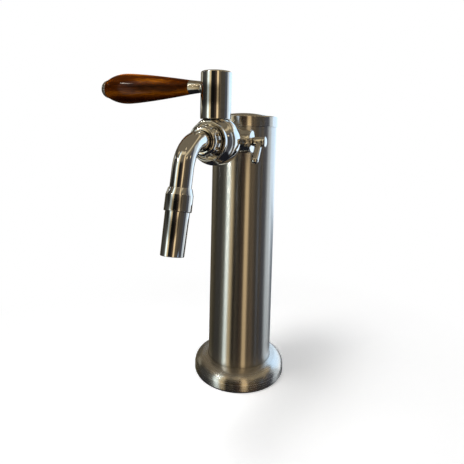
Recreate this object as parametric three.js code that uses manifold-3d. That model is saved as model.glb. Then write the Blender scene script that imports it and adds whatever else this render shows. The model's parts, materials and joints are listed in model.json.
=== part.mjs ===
// A slim single-tap beer tower: a brushed steel column on a round flange, and a polished
// ball tap with a side handle, a flow compensator, a bent spout and a screwed-on nozzle.
// Millimetres, +Z up, the tap points along -Y. The origin is the middle of the resting face.

import * as THREE from 'three';
import { mergeVertices } from 'three/addons/utils/BufferGeometryUtils.js';
import Module from 'manifold-3d';

const wasm = await Module();
wasm.setup();

// Fits shared by every piece
const CLEARANCE = 0.3;
const OVERRUN = 4;
const WELD = 0.0005;

// Flats round a turned surface
const SIDES_LARGE = 48;
const SIDES_MEDIUM = 32;
const SIDES_SMALL = 20;
const SIDES_TINY = 12;
const ARC_STEPS = 5;
const EDGE_STEPS = 2;

// Base gasket, base plate and flange
const GASKET_RADIUS = 53.6;
const GASKET_THICKNESS = 1.5;
const PLATE_THICKNESS = 5;
const FLANGE_RADIUS = 54.6;
const FLANGE_HEIGHT = 18.4;
const FLANGE_RIM = 6.5;
const FLANGE_SHOULDER = 12.5;
const FLANGE_WALL = 3;
const FLANGE_TOP_SLOPE = 0.6;

// Three tapped fixing nuts on the base plate
const FIXING_COUNT = 3;
const FIXING_FROM_WALL = 10;
const FIXING_HOLE_RADIUS = 3.4;
const FIXING_NUT_FLATS = 13;
const FIXING_NUT_HEIGHT = 6.5;

// Column tube
const COLUMN_RADIUS = 38;
const COLUMN_WALL = 1.5;

// Slip-over cap and the plug ring under it
const CAP_SEAM_HEIGHT = 300.5;
const CAP_SKIRT = 12.3;
const CAP_WALL = 0.9;
const CAP_EDGE = 1.8;
const BELL_RADIUS = 33;
const BELL_RISE = 3.9;
const BELL_POWER = 1.15;
const LINER_WALL = 2.8;
const LINER_DEPTH = 8;

// The shank that carries the tap through the column, with its rosette just under the cap's seam
const SHANK_RADIUS = 10;
const SHANK_BORE = 4;
const SHANK_GRIP = 3.6;
const SHANK_TAIL = 14;
const ROSETTE_RADIUS = 16.3;
const ROSETTE_DROP = 0.7;
const ROSETTE_PROUD = 3.5;
const ROSETTE_EDGE = 1.2;
const SADDLE_RADIUS = 14.5;
const SADDLE_DEPTH = 7.5;
const SHANK_NUT_FLATS = 27;
const SHANK_NUT_THICKNESS = 6;

// Tail of the shank: seal, union nut, the rigid beer line and its push-in coupler
const TAIL_NUT_FLATS = 25;
const TAIL_NUT_GRIP = 4;
const TAIL_NUT_WALL = 2.4;
const TAIL_SEAL_THICKNESS = 2;
const LINE_RADIUS = 4.75;
const LINE_BORE = 3.5;
const LINE_COLLAR_RADIUS = 8;
const LINE_COLLAR_THICKNESS = 1.5;
const LINE_OFFSET = 16;
const LINE_BEND = 24;
const LINE_STEPS = 8;
const COUPLER_RADIUS = 8.3;
const COUPLER_HEIGHT = 34;
const COUPLER_COLLAR_RADIUS = 10.5;
const COUPLER_COLLAR_THICKNESS = 3;
const COUPLER_SINK = 4;
const COUPLER_SOCKET_RADIUS = 5;
const COUPLER_SOCKET_DEPTH = 14;
const COUPLER_BORE = 3;

// Flow compensator: body, side boss, bonnet, spindle, cone and lever
const COMPENSATOR_RADIUS = 15;
const COMPENSATOR_LENGTH = 20;
const COMPENSATOR_CHAMBER = 8.3;
const INLET_SEAL_THICKNESS = 1.6;
const BOSS_RADIUS = 12.4;
const BOSS_REACH = 27;
const BONNET_RADIUS = 12;
const BONNET_RIM = 2.8;
const BONNET_DOME = 2;
const BONNET_DOME_WIDTH = 6.4;
const BONNET_PLUG_RADIUS = 7.2;
const BONNET_PLUG_DEPTH = 15;
const SPINDLE_RADIUS = 3.8;
const SPINDLE_INNER_END = 4.6;
const SPINDLE_NECK_RADIUS = 2.9;
const SPINDLE_SEAL_THICKNESS = 2;
const CRANK_OFFSET = 2.2;
const CRANK_RADIUS = 1.4;
const CRANK_LENGTH = 7;
const CONE_RADIUS = 7.2;
const CONE_TAIL_RADIUS = 5.6;
const CONE_LENGTH = 10.5;
const CONE_HEAD = 1.4;
const CONE_NOSE_SHARE = 0.6;
const CONE_SLOT_PLAY = 0.5;
const CONE_FLOOR = 3.2;
const LEVER_HUB_RADIUS = 5.2;
const LEVER_HUB_LENGTH = 10.2;
const LEVER_ARM_SHARE = 0.6;
const LEVER_LENGTH = 28;
const LEVER_ROOT_RADIUS = 3.3;
const LEVER_TIP_RADIUS = 3.8;
const LEVER_TIP_SHARE = 0.75;
const LEVER_ANGLE = 40;
const LEVER_SCREW_RADIUS = 5.8;
const LEVER_SCREW_RIM = 1.2;
const LEVER_SCREW_DOME = 1.9;
const LEVER_SCREW_SHANK_RADIUS = 1.5;
const LEVER_SCREW_SHANK_LENGTH = 7;

// Ball valve: body, ball, seats and the parts that seal its stem
const BALL_FROM_BACK = 24.1;
const BALL_RADIUS = 12.5;
const BALL_BORE = 6;
const BALL_SLOT_WIDTH = 4.6;
const BALL_SLOT_DEPTH = 4.4;
const VALVE_RADIUS = 24.9;
const VALVE_BELLY_BACK = 2.5;
const VALVE_BELLY_FRONT = 7;
const VALVE_BACK_RADIUS = 16.5;
const VALVE_HUB_RADIUS = 13.5;
const VALVE_STEP_RADIUS = 23;
const VALVE_STEP = 0.7;
const VALVE_FRONT_BULGE = 0.5;
const VALVE_LIP_RADIUS = 19.6;
const VALVE_LIP_DEPTH = 19.8;
const VALVE_LIP_EDGE = 0.9;
const VALVE_CAVITY_RADIUS = 14.2;
const VALVE_INLET_RADIUS = 6.5;
const VALVE_THROAT_RADIUS = 16.4;
const SEAT_BACK = 13.9;
const SEAT_HEIGHT = 7.2;
const VALVE_FLAT = 21.7;
const GLAND_RADIUS = 8;
const GLAND_HEIGHT = 2.7;
const STEM_SEAL_THICKNESS = 1.7;
const STEM_RADIUS = 5;
const STEM_TONGUE_WIDTH = 4;
const STEM_TONGUE_HEIGHT = 4;
const STEM_TOP = 45.7;
const STOP_PIN_RADIUS = 1.1;
const STOP_PIN_CIRCLE = 11;
const STOP_PIN_ENGAGEMENT = 1.8;
const STOP_PIN_DEPTH = 3;
const STOP_TURN = 90;

// Stem barrel and its screw
const BARREL_RADIUS = 15.45;
const BARREL_HEIGHT = 46.8;
const BARREL_EDGE = 1.8;
const BARREL_FOOT_CHAMFER = 0.5;
const BARREL_SCREW_RADIUS = 3;
const BARREL_SCREW_LENGTH = 24;
const BARREL_SCREW_HEAD_RADIUS = 5.4;
const BARREL_SCREW_HEAD_HEIGHT = 3.6;
const BARREL_SCREW_SLOT = 1.4;
const BARREL_COUNTERBORE = 5.8;

// Side handle: rod, ferrule, turned wooden grip and domed end cap
const HANDLE_DROP = 14.6;
const ROD_RADIUS = 3.4;
const ROD_START = 5;
const FERRULE_NECK_RADIUS = 4.6;
const FERRULE_NECK_SINK = 2;
const FERRULE_START_RADIUS = 5.9;
const FERRULE_END_RADIUS = 7.3;
const FERRULE_END = 28.8;
const GRIP_BELLY_RADIUS = 16.2;
const GRIP_END_RADIUS = 10;
const GRIP_LENGTH = 101.2;
const GRIP_BELLY_SHARE = 0.75;
const GRIP_STEPS = 12;
const GRIP_SWELL_POWER = 1.33;
const GRIP_NOSE_POWER = 2.25;
const END_CAP_DOME = 8.5;
const END_CAP_SOCKET = 4;

// Castellated ring, spout, collar and nozzle
const RING_RADIUS = 16.1;
const RING_LENGTH = 11.3;
const RING_DOME_RADIUS = 14.2;
const RING_DOME_RISE = 3.8;
const RING_LIP_RADIUS = 11.3;
const RING_BORE = 10.2;
const RING_NOTCHES = 14;
const RING_NOTCH_DEPTH = 1.9;
const RING_NOTCH_BACK = 4.6;
const SPOUT_RADIUS = 9.5;
const SPOUT_BORE = 7;
const SPOUT_FLANGE_RADIUS = 15.8;
const SPOUT_FLANGE_THICKNESS = 2.2;
const SPOUT_SEAL_THICKNESS = 1.4;
const SPOUT_BEND_START = 122.8;
const SPOUT_BEND = 30;
const SPOUT_TURN = 77.3;
const SPOUT_STRAIGHT = 16.7;
const SPOUT_STEPS = 13;
const COLLAR_RADIUS = 11.9;
const COLLAR_LENGTH = 14;
const COLLAR_TAPER = 6;
const COLLAR_TOP_WALL = 0.5;
const COLLAR_EDGE = 0.8;
const NOZZLE_MOUTH_RADIUS = 10.1;
const NOZZLE_TOP_RADIUS = 10.6;
const NOZZLE_LENGTH = 37;
const NOZZLE_WALL = 1.9;
const NOZZLE_NECK_RADIUS = 9.5;
const NOZZLE_NECK_LENGTH = 7;
const NOZZLE_SEAL_THICKNESS = 1.7;
const SCREEN_THICKNESS = 1.5;
const SCREEN_LEDGE = 0.7;
const SCREEN_HOLES = 7;
const SCREEN_HOLE_RADIUS = 1.1;
const SCREEN_RING_RADIUS = 4.6;

const QUARTER = Math.PI / 2;
const HALF = Math.PI;
const FULL = Math.PI * 2;
const HEX = 6;

// Heights over the resting face
const plateTop = GASKET_THICKNESS + PLATE_THICKNESS;
const flangeTop = GASKET_THICKNESS + FLANGE_HEIGHT;
const capRim = CAP_SEAM_HEIGHT + CAP_SKIRT;
const capUnder = capRim - CAP_WALL;
const columnTop = capUnder - CLEARANCE;
const columnBore = COLUMN_RADIUS - COLUMN_WALL;
const fixingCircle = columnBore - FIXING_FROM_WALL;
const tapHeight = CAP_SEAM_HEIGHT - ROSETTE_DROP - ROSETTE_RADIUS;

// Distances from the column's axis along the tap
const rosetteFront = COLUMN_RADIUS + ROSETTE_PROUD;
const compensatorBack = rosetteFront + CLEARANCE;
const compensatorFront = compensatorBack + COMPENSATOR_LENGTH;
const compensatorMiddle = compensatorBack + COMPENSATOR_LENGTH / 2;
const saddleBack = columnBore - SADDLE_DEPTH;
const shankFront = compensatorBack + SHANK_GRIP;
const shankBack = saddleBack - SHANK_TAIL;
const inletSealFront = shankFront + INLET_SEAL_THICKNESS;
const tailSealBack = shankBack - TAIL_SEAL_THICKNESS;
const lineCollarBack = tailSealBack - LINE_COLLAR_THICKNESS;
const tailNutBack = lineCollarBack - CLEARANCE - TAIL_NUT_WALL;
const valveBack = compensatorFront + CLEARANCE;
const valveShoulder = compensatorMiddle + BOSS_RADIUS + CLEARANCE;
const ballReach = valveBack + BALL_FROM_BACK;
const valveLip = ballReach + VALVE_LIP_DEPTH;
const seatFront = ballReach + SEAT_BACK;
const spoutSealFront = seatFront + SPOUT_SEAL_THICKNESS;
const spoutFlangeFront = spoutSealFront + SPOUT_FLANGE_THICKNESS;
const ringBack = spoutFlangeFront;
const ringShoulder = valveLip + RING_LENGTH - RING_DOME_RISE;

// Distances up the nozzle from its mouth
const collarTop = NOZZLE_LENGTH + COLLAR_LENGTH + COLLAR_TAPER;
const nozzleNeckTop = NOZZLE_LENGTH + NOZZLE_NECK_LENGTH;
const nozzleSealTop = nozzleNeckTop + NOZZLE_SEAL_THICKNESS;
const nozzleBore = NOZZLE_MOUTH_RADIUS - NOZZLE_WALL;

const radians = THREE.MathUtils.degToRad;

// A geometry as a solid that can be joined and cut, with its faces pointing out.
function toSolid(geometry) {
  const bare = geometry.clone();
  bare.deleteAttribute('normal');
  bare.deleteAttribute('uv');
  const merged = mergeVertices(bare, WELD);
  const place = merged.attributes.position;
  const corners = merged.index.array;
  const kept = [];
  let volume = 0;
  const [a, b, c] = [new THREE.Vector3(), new THREE.Vector3(), new THREE.Vector3()];
  for (let i = 0; i < corners.length; i += 3) {
    const [p, q, r] = [corners[i], corners[i + 1], corners[i + 2]];
    if (p === q || q === r || r === p) continue;
    kept.push([p, q, r]);
    a.fromBufferAttribute(place, p);
    b.fromBufferAttribute(place, q);
    c.fromBufferAttribute(place, r);
    volume += a.dot(b.cross(c));
  }
  const triVerts = kept.flatMap(([p, q, r]) => (volume < 0 ? [p, r, q] : [p, q, r]));
  return new wasm.Manifold(new wasm.Mesh({
    numProp: 3,
    vertProperties: Float32Array.from(place.array),
    triVerts: Uint32Array.from(triVerts),
  }));
}

function toGeometry(solid) {
  const mesh = solid.getMesh();
  const geometry = new THREE.BufferGeometry();
  geometry.setAttribute('position', new THREE.BufferAttribute(mesh.vertProperties, 3));
  geometry.setIndex(new THREE.BufferAttribute(mesh.triVerts, 1));
  return geometry;
}

function cut(body, ...tools) {
  return toGeometry(tools.reduce((left, tool) => left.subtract(toSolid(tool)), toSolid(body)));
}

function join(body, ...others) {
  return toGeometry(others.reduce((sum, other) => sum.add(toSolid(other)), toSolid(body)));
}

function common(body, other) {
  return toGeometry(toSolid(body).intersect(toSolid(other)));
}

// A closed outline of [radius, height] points turned round the Z axis.
function turned(outline, sides = SIDES_MEDIUM) {
  const points = [...outline, outline[0]].map(([radius, height]) => new THREE.Vector2(radius, height));
  return new THREE.LatheGeometry(points, sides).rotateX(QUARTER);
}

function rod(radius, from, to, sides = SIDES_SMALL) {
  return turned([[0, from], [radius, from], [radius, to], [0, to]], sides);
}

function tube(radius, bore, from, to, sides = SIDES_SMALL) {
  return turned([[bore, from], [radius, from], [radius, to], [bore, to]], sides);
}

// Points on an arc about [radius, height], for a rounded stretch of an outline.
function arc(radius, height, across, rise, start, end, steps = ARC_STEPS) {
  return Array.from({ length: steps + 1 }, (_, i) => {
    const angle = start + (end - start) * i / steps;
    return [radius + across * Math.cos(angle), height + rise * Math.sin(angle)];
  });
}

// A six-sided nut with a round bore, standing on the height it starts from.
function hexNut(flats, bore, from, to) {
  const corner = flats / 2 / Math.cos(HALF / HEX);
  const shape = new THREE.Shape();
  for (let i = 0; i < HEX; i += 1) {
    const angle = FULL * i / HEX;
    const [x, y] = [corner * Math.cos(angle), corner * Math.sin(angle)];
    if (i === 0) shape.moveTo(x, y);
    else shape.lineTo(x, y);
  }
  shape.closePath();
  const hole = new THREE.Path().absarc(0, 0, bore, 0, FULL, true);
  shape.holes.push(hole);
  const options = { depth: to - from, bevelEnabled: false, curveSegments: SIDES_SMALL / 2 };
  return new THREE.ExtrudeGeometry(shape, options).translate(0, 0, from);
}

function block(lowX, highX, lowY, highY, lowZ, highZ) {
  const box = new THREE.BoxGeometry(highX - lowX, highY - lowY, highZ - lowZ);
  return box.translate((lowX + highX) / 2, (lowY + highY) / 2, (lowZ + highZ) / 2);
}

// A round tube swept along a curve.
function sweptTube(radius, bore, path, sides) {
  const shape = new THREE.Shape().absarc(0, 0, radius, 0, FULL, false);
  shape.holes.push(new THREE.Path().absarc(0, 0, bore, 0, FULL, true));
  const options = { steps: path.steps, extrudePath: path, bevelEnabled: false, curveSegments: sides / 2 };
  return new THREE.ExtrudeGeometry(shape, options);
}

// A flat path that runs forward, bends down and runs on. Each straight run is one step.
class BentPath extends THREE.Curve {
  constructor(start, lead, bend, turn, run, steps) {
    super();
    Object.assign(this, { start, lead, bend, turn, run, steps });
  }

  angleAt(share) {
    const step = share * this.steps - 1;
    return this.turn * THREE.MathUtils.clamp(step / (this.steps - 2), 0, 1);
  }

  getPointAt(share, target = new THREE.Vector3()) {
    const step = share * this.steps;
    const lead = this.lead * Math.min(step, 1);
    const run = this.run * Math.max(0, step - this.steps + 1);
    const angle = this.angleAt(share);
    const forward = lead + this.bend * Math.sin(angle) + run * Math.cos(angle);
    const down = this.bend * (1 - Math.cos(angle)) + run * Math.sin(angle);
    return target.set(0, -down, this.start + forward);
  }

  getTangentAt(share, target = new THREE.Vector3()) {
    const angle = this.angleAt(share);
    return target.set(0, -Math.sin(angle), Math.cos(angle));
  }
}

// Finishes
function finish(color, metalness, roughness) {
  return new THREE.MeshStandardMaterial({ color, metalness, roughness });
}

const brushedSteel = () => finish(0xb9b4aa, 1, 0.34);
const polishedSteel = () => finish(0xd6d4cf, 1, 0.08);
const plainSteel = () => finish(0x9c9a96, 1, 0.45);
const varnishedWood = () => finish(0x7a3a12, 0, 0.2);
const blackRubber = () => finish(0x1b1b1c, 0, 0.85);
const whitePolymer = () => finish(0xe8e6df, 0, 0.5);
const greyPolymer = () => finish(0x4a4b4e, 0, 0.55);

function piece(parent, name, geometry, material) {
  const mesh = new THREE.Mesh(geometry, material);
  mesh.name = name;
  parent.add(mesh);
  return mesh;
}

function frameAt(parent, x, y, z, turnX = 0, turnY = 0) {
  const group = new THREE.Group();
  group.position.set(x, y, z);
  group.rotation.set(turnX, turnY, 0);
  parent.add(group);
  return group;
}

// Base

function atFixings(make) {
  return Array.from({ length: FIXING_COUNT }, (_, i) => {
    const angle = FULL * i / FIXING_COUNT - QUARTER;
    return make().translate(fixingCircle * Math.cos(angle), fixingCircle * Math.sin(angle), 0);
  });
}

function basePlateHoles() {
  const from = -OVERRUN;
  const to = plateTop + OVERRUN;
  const screws = atFixings(() => rod(FIXING_HOLE_RADIUS, from, to, SIDES_SMALL));
  return [...screws, rod(COUPLER_RADIUS + CLEARANCE, from, to).translate(0, LINE_OFFSET, 0)];
}

function baseGasket() {
  return cut(rod(GASKET_RADIUS, 0, GASKET_THICKNESS, SIDES_LARGE), ...basePlateHoles());
}

function basePlate() {
  const radius = FLANGE_RADIUS - FLANGE_WALL - CLEARANCE;
  return cut(rod(radius, GASKET_THICKNESS, plateTop, SIDES_LARGE), ...basePlateHoles());
}

function baseFlange() {
  const bore = COLUMN_RADIUS + CLEARANCE;
  const rimTop = GASKET_THICKNESS + FLANGE_RIM;
  const shoulderTop = flangeTop - FLANGE_TOP_SLOPE;
  const shoulder = FLANGE_RADIUS - FLANGE_SHOULDER;
  const rise = shoulderTop - rimTop;
  return turned([
    [FLANGE_RADIUS, GASKET_THICKNESS],
    ...arc(shoulder, rimTop, FLANGE_SHOULDER, rise, 0, QUARTER),
    [bore, flangeTop],
    [bore, shoulderTop - FLANGE_WALL],
    ...arc(shoulder, rimTop, FLANGE_SHOULDER - FLANGE_WALL, rise - FLANGE_WALL, QUARTER, 0),
    [FLANGE_RADIUS - FLANGE_WALL, GASKET_THICKNESS],
  ], SIDES_LARGE);
}

function fixingNut() {
  return hexNut(FIXING_NUT_FLATS, FIXING_HOLE_RADIUS, plateTop, plateTop + FIXING_NUT_HEIGHT);
}

// Column and cap

function columnTube() {
  const wall = tube(COLUMN_RADIUS, columnBore, plateTop, columnTop, SIDES_LARGE);
  const hole = rod(SHANK_RADIUS + CLEARANCE, 0, COLUMN_RADIUS + OVERRUN).rotateX(QUARTER);
  return cut(wall, hole.translate(0, 0, tapHeight));
}

function bell(base, from, to) {
  return Array.from({ length: ARC_STEPS + 1 }, (_, i) => {
    const share = from + (to - from) * i / ARC_STEPS;
    return [BELL_RADIUS * share, base + BELL_RISE * (1 - share * share) ** BELL_POWER];
  });
}

function columnCap() {
  const inner = COLUMN_RADIUS + CLEARANCE;
  const outer = inner + CAP_WALL;
  return turned([
    [inner, CAP_SEAM_HEIGHT],
    [outer, CAP_SEAM_HEIGHT],
    ...arc(outer - CAP_EDGE, capRim - CAP_EDGE, CAP_EDGE, CAP_EDGE, 0, QUARTER, EDGE_STEPS),
    ...bell(capRim, 1, 0),
    ...bell(capUnder, 0, 1),
    [inner, capUnder],
  ], SIDES_LARGE);
}

function capLiner() {
  const radius = columnBore - CLEARANCE;
  return tube(radius, radius - LINER_WALL, capUnder - LINER_DEPTH, capUnder, SIDES_LARGE);
}

// Shank and beer line, along the tap's own axis

function columnCylinder(radius) {
  const half = ROSETTE_RADIUS + OVERRUN;
  return rod(radius, -half, half, SIDES_LARGE).rotateX(-QUARTER);
}

function shankRosette() {
  const start = columnBore * Math.cos(Math.asin(ROSETTE_RADIUS / columnBore));
  const disc = turned([
    [SHANK_RADIUS + CLEARANCE, start],
    [ROSETTE_RADIUS, start],
    ...arc(ROSETTE_RADIUS - ROSETTE_EDGE, rosetteFront - ROSETTE_EDGE,
      ROSETTE_EDGE, ROSETTE_EDGE, 0, QUARTER, EDGE_STEPS),
    [SHANK_RADIUS + CLEARANCE, rosetteFront],
  ]);
  return cut(disc, columnCylinder(COLUMN_RADIUS + CLEARANCE));
}

function saddleWasher() {
  const disc = tube(SADDLE_RADIUS, SHANK_RADIUS + CLEARANCE, saddleBack, COLUMN_RADIUS, SIDES_MEDIUM);
  return common(disc, columnCylinder(columnBore - CLEARANCE));
}

function shank() {
  return tube(SHANK_RADIUS, SHANK_BORE, shankBack, shankFront);
}

function shankNut() {
  return hexNut(SHANK_NUT_FLATS, SHANK_RADIUS + CLEARANCE, saddleBack - SHANK_NUT_THICKNESS, saddleBack);
}

function tailSeal() {
  return tube(SHANK_RADIUS - CLEARANCE, SHANK_BORE, tailSealBack, shankBack);
}

function tailNut() {
  const nut = hexNut(TAIL_NUT_FLATS, LINE_RADIUS + CLEARANCE, tailNutBack, shankBack + TAIL_NUT_GRIP);
  const well = rod(SHANK_RADIUS + CLEARANCE, lineCollarBack - CLEARANCE, shankBack + SHANK_TAIL);
  return cut(nut, well);
}

function beerLine() {
  const lead = tailSealBack + LINE_OFFSET - LINE_BEND;
  const straightTop = tapHeight - LINE_BEND;
  const bottom = plateTop + COUPLER_HEIGHT - COUPLER_SOCKET_DEPTH;
  const path = new BentPath(-tailSealBack, lead, LINE_BEND, QUARTER, straightTop - bottom, LINE_STEPS);
  const line = sweptTube(LINE_RADIUS, LINE_BORE, path, SIDES_TINY);
  const collar = tube(LINE_COLLAR_RADIUS, (LINE_BORE + LINE_RADIUS) / 2, -tailSealBack, -lineCollarBack);
  return join(line, collar).rotateY(HALF);
}

function lineCoupler() {
  const bottom = plateTop - COUPLER_SINK;
  const top = plateTop + COUPLER_HEIGHT;
  const collarEnd = plateTop + COUPLER_COLLAR_THICKNESS;
  const lineEnd = top - COUPLER_SOCKET_DEPTH - CLEARANCE;
  return turned([
    [COUPLER_SOCKET_RADIUS, bottom],
    [COUPLER_RADIUS, bottom],
    [COUPLER_RADIUS, plateTop],
    [COUPLER_COLLAR_RADIUS, plateTop],
    [COUPLER_COLLAR_RADIUS, collarEnd],
    [COUPLER_RADIUS, collarEnd],
    [COUPLER_RADIUS, top],
    [LINE_RADIUS + CLEARANCE, top],
    [LINE_RADIUS + CLEARANCE, lineEnd],
    [COUPLER_BORE, lineEnd],
    [COUPLER_BORE, bottom + COUPLER_SOCKET_DEPTH],
    [COUPLER_SOCKET_RADIUS, bottom + COUPLER_SOCKET_DEPTH],
  ]).translate(0, LINE_OFFSET, 0);
}

// Flow compensator

function alongRight(geometry) {
  return geometry.rotateY(QUARTER);
}

function compensatorBody() {
  const reach = COMPENSATOR_LENGTH;
  const barrel = rod(COMPENSATOR_RADIUS, compensatorBack, compensatorFront, SIDES_MEDIUM);
  const boss = alongRight(rod(BOSS_RADIUS, 0, BOSS_REACH, SIDES_MEDIUM)).translate(0, 0, compensatorMiddle);
  const bonnetBore = alongRight(rod(BONNET_PLUG_RADIUS + CLEARANCE, 0, BOSS_REACH + OVERRUN));
  return cut(
    join(barrel, boss),
    rod(ROSETTE_RADIUS + CLEARANCE, compensatorBack - reach, compensatorBack, SIDES_MEDIUM),
    rod(VALVE_HUB_RADIUS + CLEARANCE, compensatorFront, compensatorFront + reach, SIDES_MEDIUM),
    rod(SHANK_RADIUS + CLEARANCE, compensatorBack - OVERRUN, inletSealFront),
    rod(COMPENSATOR_CHAMBER, shankFront, compensatorFront + OVERRUN),
    bonnetBore.translate(0, 0, compensatorMiddle),
  );
}

function inletSeal() {
  return tube(SHANK_RADIUS, SHANK_BORE + CLEARANCE, shankFront, inletSealFront);
}

function compensatorCone() {
  const head = compensatorFront - CONE_HEAD - CONE_SLOT_PLAY - CRANK_OFFSET;
  const tail = head + CONE_HEAD - CONE_LENGTH;
  const slot = CRANK_RADIUS + CONE_SLOT_PLAY;
  const wide = CONE_RADIUS + OVERRUN;
  const cone = turned([
    [0, tail],
    [CONE_TAIL_RADIUS * CONE_NOSE_SHARE, tail],
    [CONE_TAIL_RADIUS, tail + CONE_HEAD],
    [CONE_TAIL_RADIUS, head],
    [CONE_RADIUS, head],
    [CONE_RADIUS - CLEARANCE, head + CONE_HEAD],
    [0, head + CONE_HEAD],
  ]);
  const pinSlot = block(-CONE_FLOOR, wide, -wide, wide, compensatorMiddle - slot, compensatorMiddle + slot);
  const side = block(SPINDLE_INNER_END - CLEARANCE, wide, -wide, wide, tail - OVERRUN, head);
  return cut(cone, pinSlot, side);
}

function compensatorBonnet() {
  const rimEnd = BOSS_REACH + BONNET_RIM;
  return turned([
    [SPINDLE_RADIUS + CLEARANCE, BOSS_REACH - BONNET_PLUG_DEPTH],
    [BONNET_PLUG_RADIUS, BOSS_REACH - BONNET_PLUG_DEPTH],
    [BONNET_PLUG_RADIUS, BOSS_REACH],
    [BONNET_RADIUS, BOSS_REACH],
    ...arc(BONNET_RADIUS - BONNET_DOME_WIDTH, rimEnd - BONNET_DOME,
      BONNET_DOME_WIDTH, BONNET_DOME, 0, QUARTER),
    [SPINDLE_RADIUS + CLEARANCE, rimEnd],
  ]);
}

function spindleSeal() {
  const front = BOSS_REACH - BONNET_PLUG_DEPTH;
  return tube(BONNET_PLUG_RADIUS, SPINDLE_RADIUS + CLEARANCE, front - SPINDLE_SEAL_THICKNESS, front);
}

// The spindle's own frame has X down and Z out along the spindle.
const leverStart = BOSS_REACH + BONNET_RIM + CLEARANCE;
const leverEnd = leverStart + LEVER_HUB_LENGTH;

function compensatorSpindle() {
  const crankEnd = SPINDLE_INNER_END - CRANK_LENGTH;
  const body = turned([
    [0, SPINDLE_INNER_END],
    [SPINDLE_RADIUS, SPINDLE_INNER_END],
    [SPINDLE_RADIUS, leverStart],
    [SPINDLE_NECK_RADIUS, leverStart],
    [SPINDLE_NECK_RADIUS, leverEnd - CLEARANCE],
    [0, leverEnd - CLEARANCE],
  ]);
  const crank = rod(CRANK_RADIUS, crankEnd, SPINDLE_INNER_END + CLEARANCE, SIDES_TINY);
  const tapping = rod(LEVER_SCREW_SHANK_RADIUS + CLEARANCE,
    leverEnd - LEVER_SCREW_SHANK_LENGTH - CLEARANCE, leverEnd + OVERRUN, SIDES_TINY);
  return cut(join(body, crank.translate(CRANK_OFFSET, 0, 0)), tapping);
}

function compensatorLever() {
  const hub = rod(LEVER_HUB_RADIUS, leverStart, leverEnd);
  const tipStart = LEVER_LENGTH - LEVER_TIP_RADIUS * LEVER_TIP_SHARE;
  const arm = turned([
    [0, 0],
    [LEVER_ROOT_RADIUS, 0],
    [LEVER_ROOT_RADIUS, LEVER_HUB_RADIUS],
    ...arc(0, tipStart, LEVER_TIP_RADIUS, LEVER_LENGTH - tipStart, 0, QUARTER),
  ], SIDES_SMALL);
  const armMiddle = leverStart + LEVER_HUB_LENGTH * LEVER_ARM_SHARE;
  arm.rotateY(QUARTER).rotateZ(-radians(LEVER_ANGLE)).translate(0, 0, armMiddle);
  const bore = rod(SPINDLE_NECK_RADIUS + CLEARANCE, leverStart - OVERRUN, leverEnd + OVERRUN);
  return cut(join(hub, arm), bore);
}

function leverScrew() {
  const rim = leverEnd + LEVER_SCREW_RIM;
  return turned([
    [0, leverEnd - LEVER_SCREW_SHANK_LENGTH],
    [LEVER_SCREW_SHANK_RADIUS, leverEnd - LEVER_SCREW_SHANK_LENGTH],
    [LEVER_SCREW_SHANK_RADIUS, leverEnd],
    [LEVER_SCREW_RADIUS, leverEnd],
    ...arc(0, rim, LEVER_SCREW_RADIUS, LEVER_SCREW_DOME, 0, QUARTER),
  ], SIDES_SMALL);
}

// Ball valve

function valveOutside() {
  const bellyBack = ballReach - VALVE_BELLY_BACK;
  const bellyFront = ballReach + VALVE_BELLY_FRONT;
  const backWidth = VALVE_RADIUS - VALVE_BACK_RADIUS;
  const stepRadius = VALVE_STEP_RADIUS + VALVE_STEP;
  const frontStart = bellyFront + VALVE_STEP;
  const frontEnd = valveLip - VALVE_LIP_EDGE;
  const front = Array.from({ length: ARC_STEPS + 1 }, (_, i) => {
    const share = i / ARC_STEPS;
    const bulge = VALVE_FRONT_BULGE * Math.sin(HALF * share);
    return [THREE.MathUtils.lerp(VALVE_STEP_RADIUS, VALVE_LIP_RADIUS, share) + bulge,
      THREE.MathUtils.lerp(frontStart, frontEnd, share)];
  });
  return [
    [VALVE_HUB_RADIUS, valveBack],
    [VALVE_HUB_RADIUS, valveShoulder],
    ...arc(VALVE_BACK_RADIUS, bellyBack, backWidth, valveShoulder - bellyBack, QUARTER, 0),
    ...arc(stepRadius, bellyBack, VALVE_RADIUS - stepRadius, bellyFront - bellyBack, 0, QUARTER),
    ...front,
    [VALVE_LIP_RADIUS - VALVE_LIP_EDGE, valveLip],
  ];
}

function upright(geometry) {
  return geometry.rotateX(-QUARTER).translate(0, 0, ballReach);
}

function valveBody() {
  const throat = seatFront + CLEARANCE;
  const cavity = ballReach - SEAT_BACK;
  const shell = turned([
    [VALVE_INLET_RADIUS, valveBack],
    ...valveOutside(),
    [VALVE_THROAT_RADIUS, valveLip],
    [VALVE_THROAT_RADIUS, throat],
    [VALVE_CAVITY_RADIUS, throat],
    [VALVE_CAVITY_RADIUS, cavity],
    [VALVE_INLET_RADIUS, cavity],
  ], SIDES_LARGE);
  const sealBottom = VALVE_FLAT - CLEARANCE - GLAND_HEIGHT - STEM_SEAL_THICKNESS;
  const pinBottom = VALVE_FLAT - STOP_PIN_DEPTH;
  const pinHole = rod(STOP_PIN_RADIUS + CLEARANCE, pinBottom, VALVE_RADIUS + OVERRUN, SIDES_TINY);
  return cut(
    shell,
    upright(rod(BARREL_RADIUS + CLEARANCE, VALVE_FLAT, VALVE_RADIUS + OVERRUN, SIDES_MEDIUM)),
    upright(rod(STEM_RADIUS + CLEARANCE, 0, VALVE_RADIUS)),
    upright(rod(GLAND_RADIUS + CLEARANCE, sealBottom, VALVE_RADIUS)),
    upright(pinHole.translate(0, -STOP_PIN_CIRCLE, 0)),
  );
}

function ballSphere(radius) {
  return new THREE.SphereGeometry(radius, SIDES_SMALL, SIDES_TINY).translate(0, 0, ballReach);
}

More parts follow.
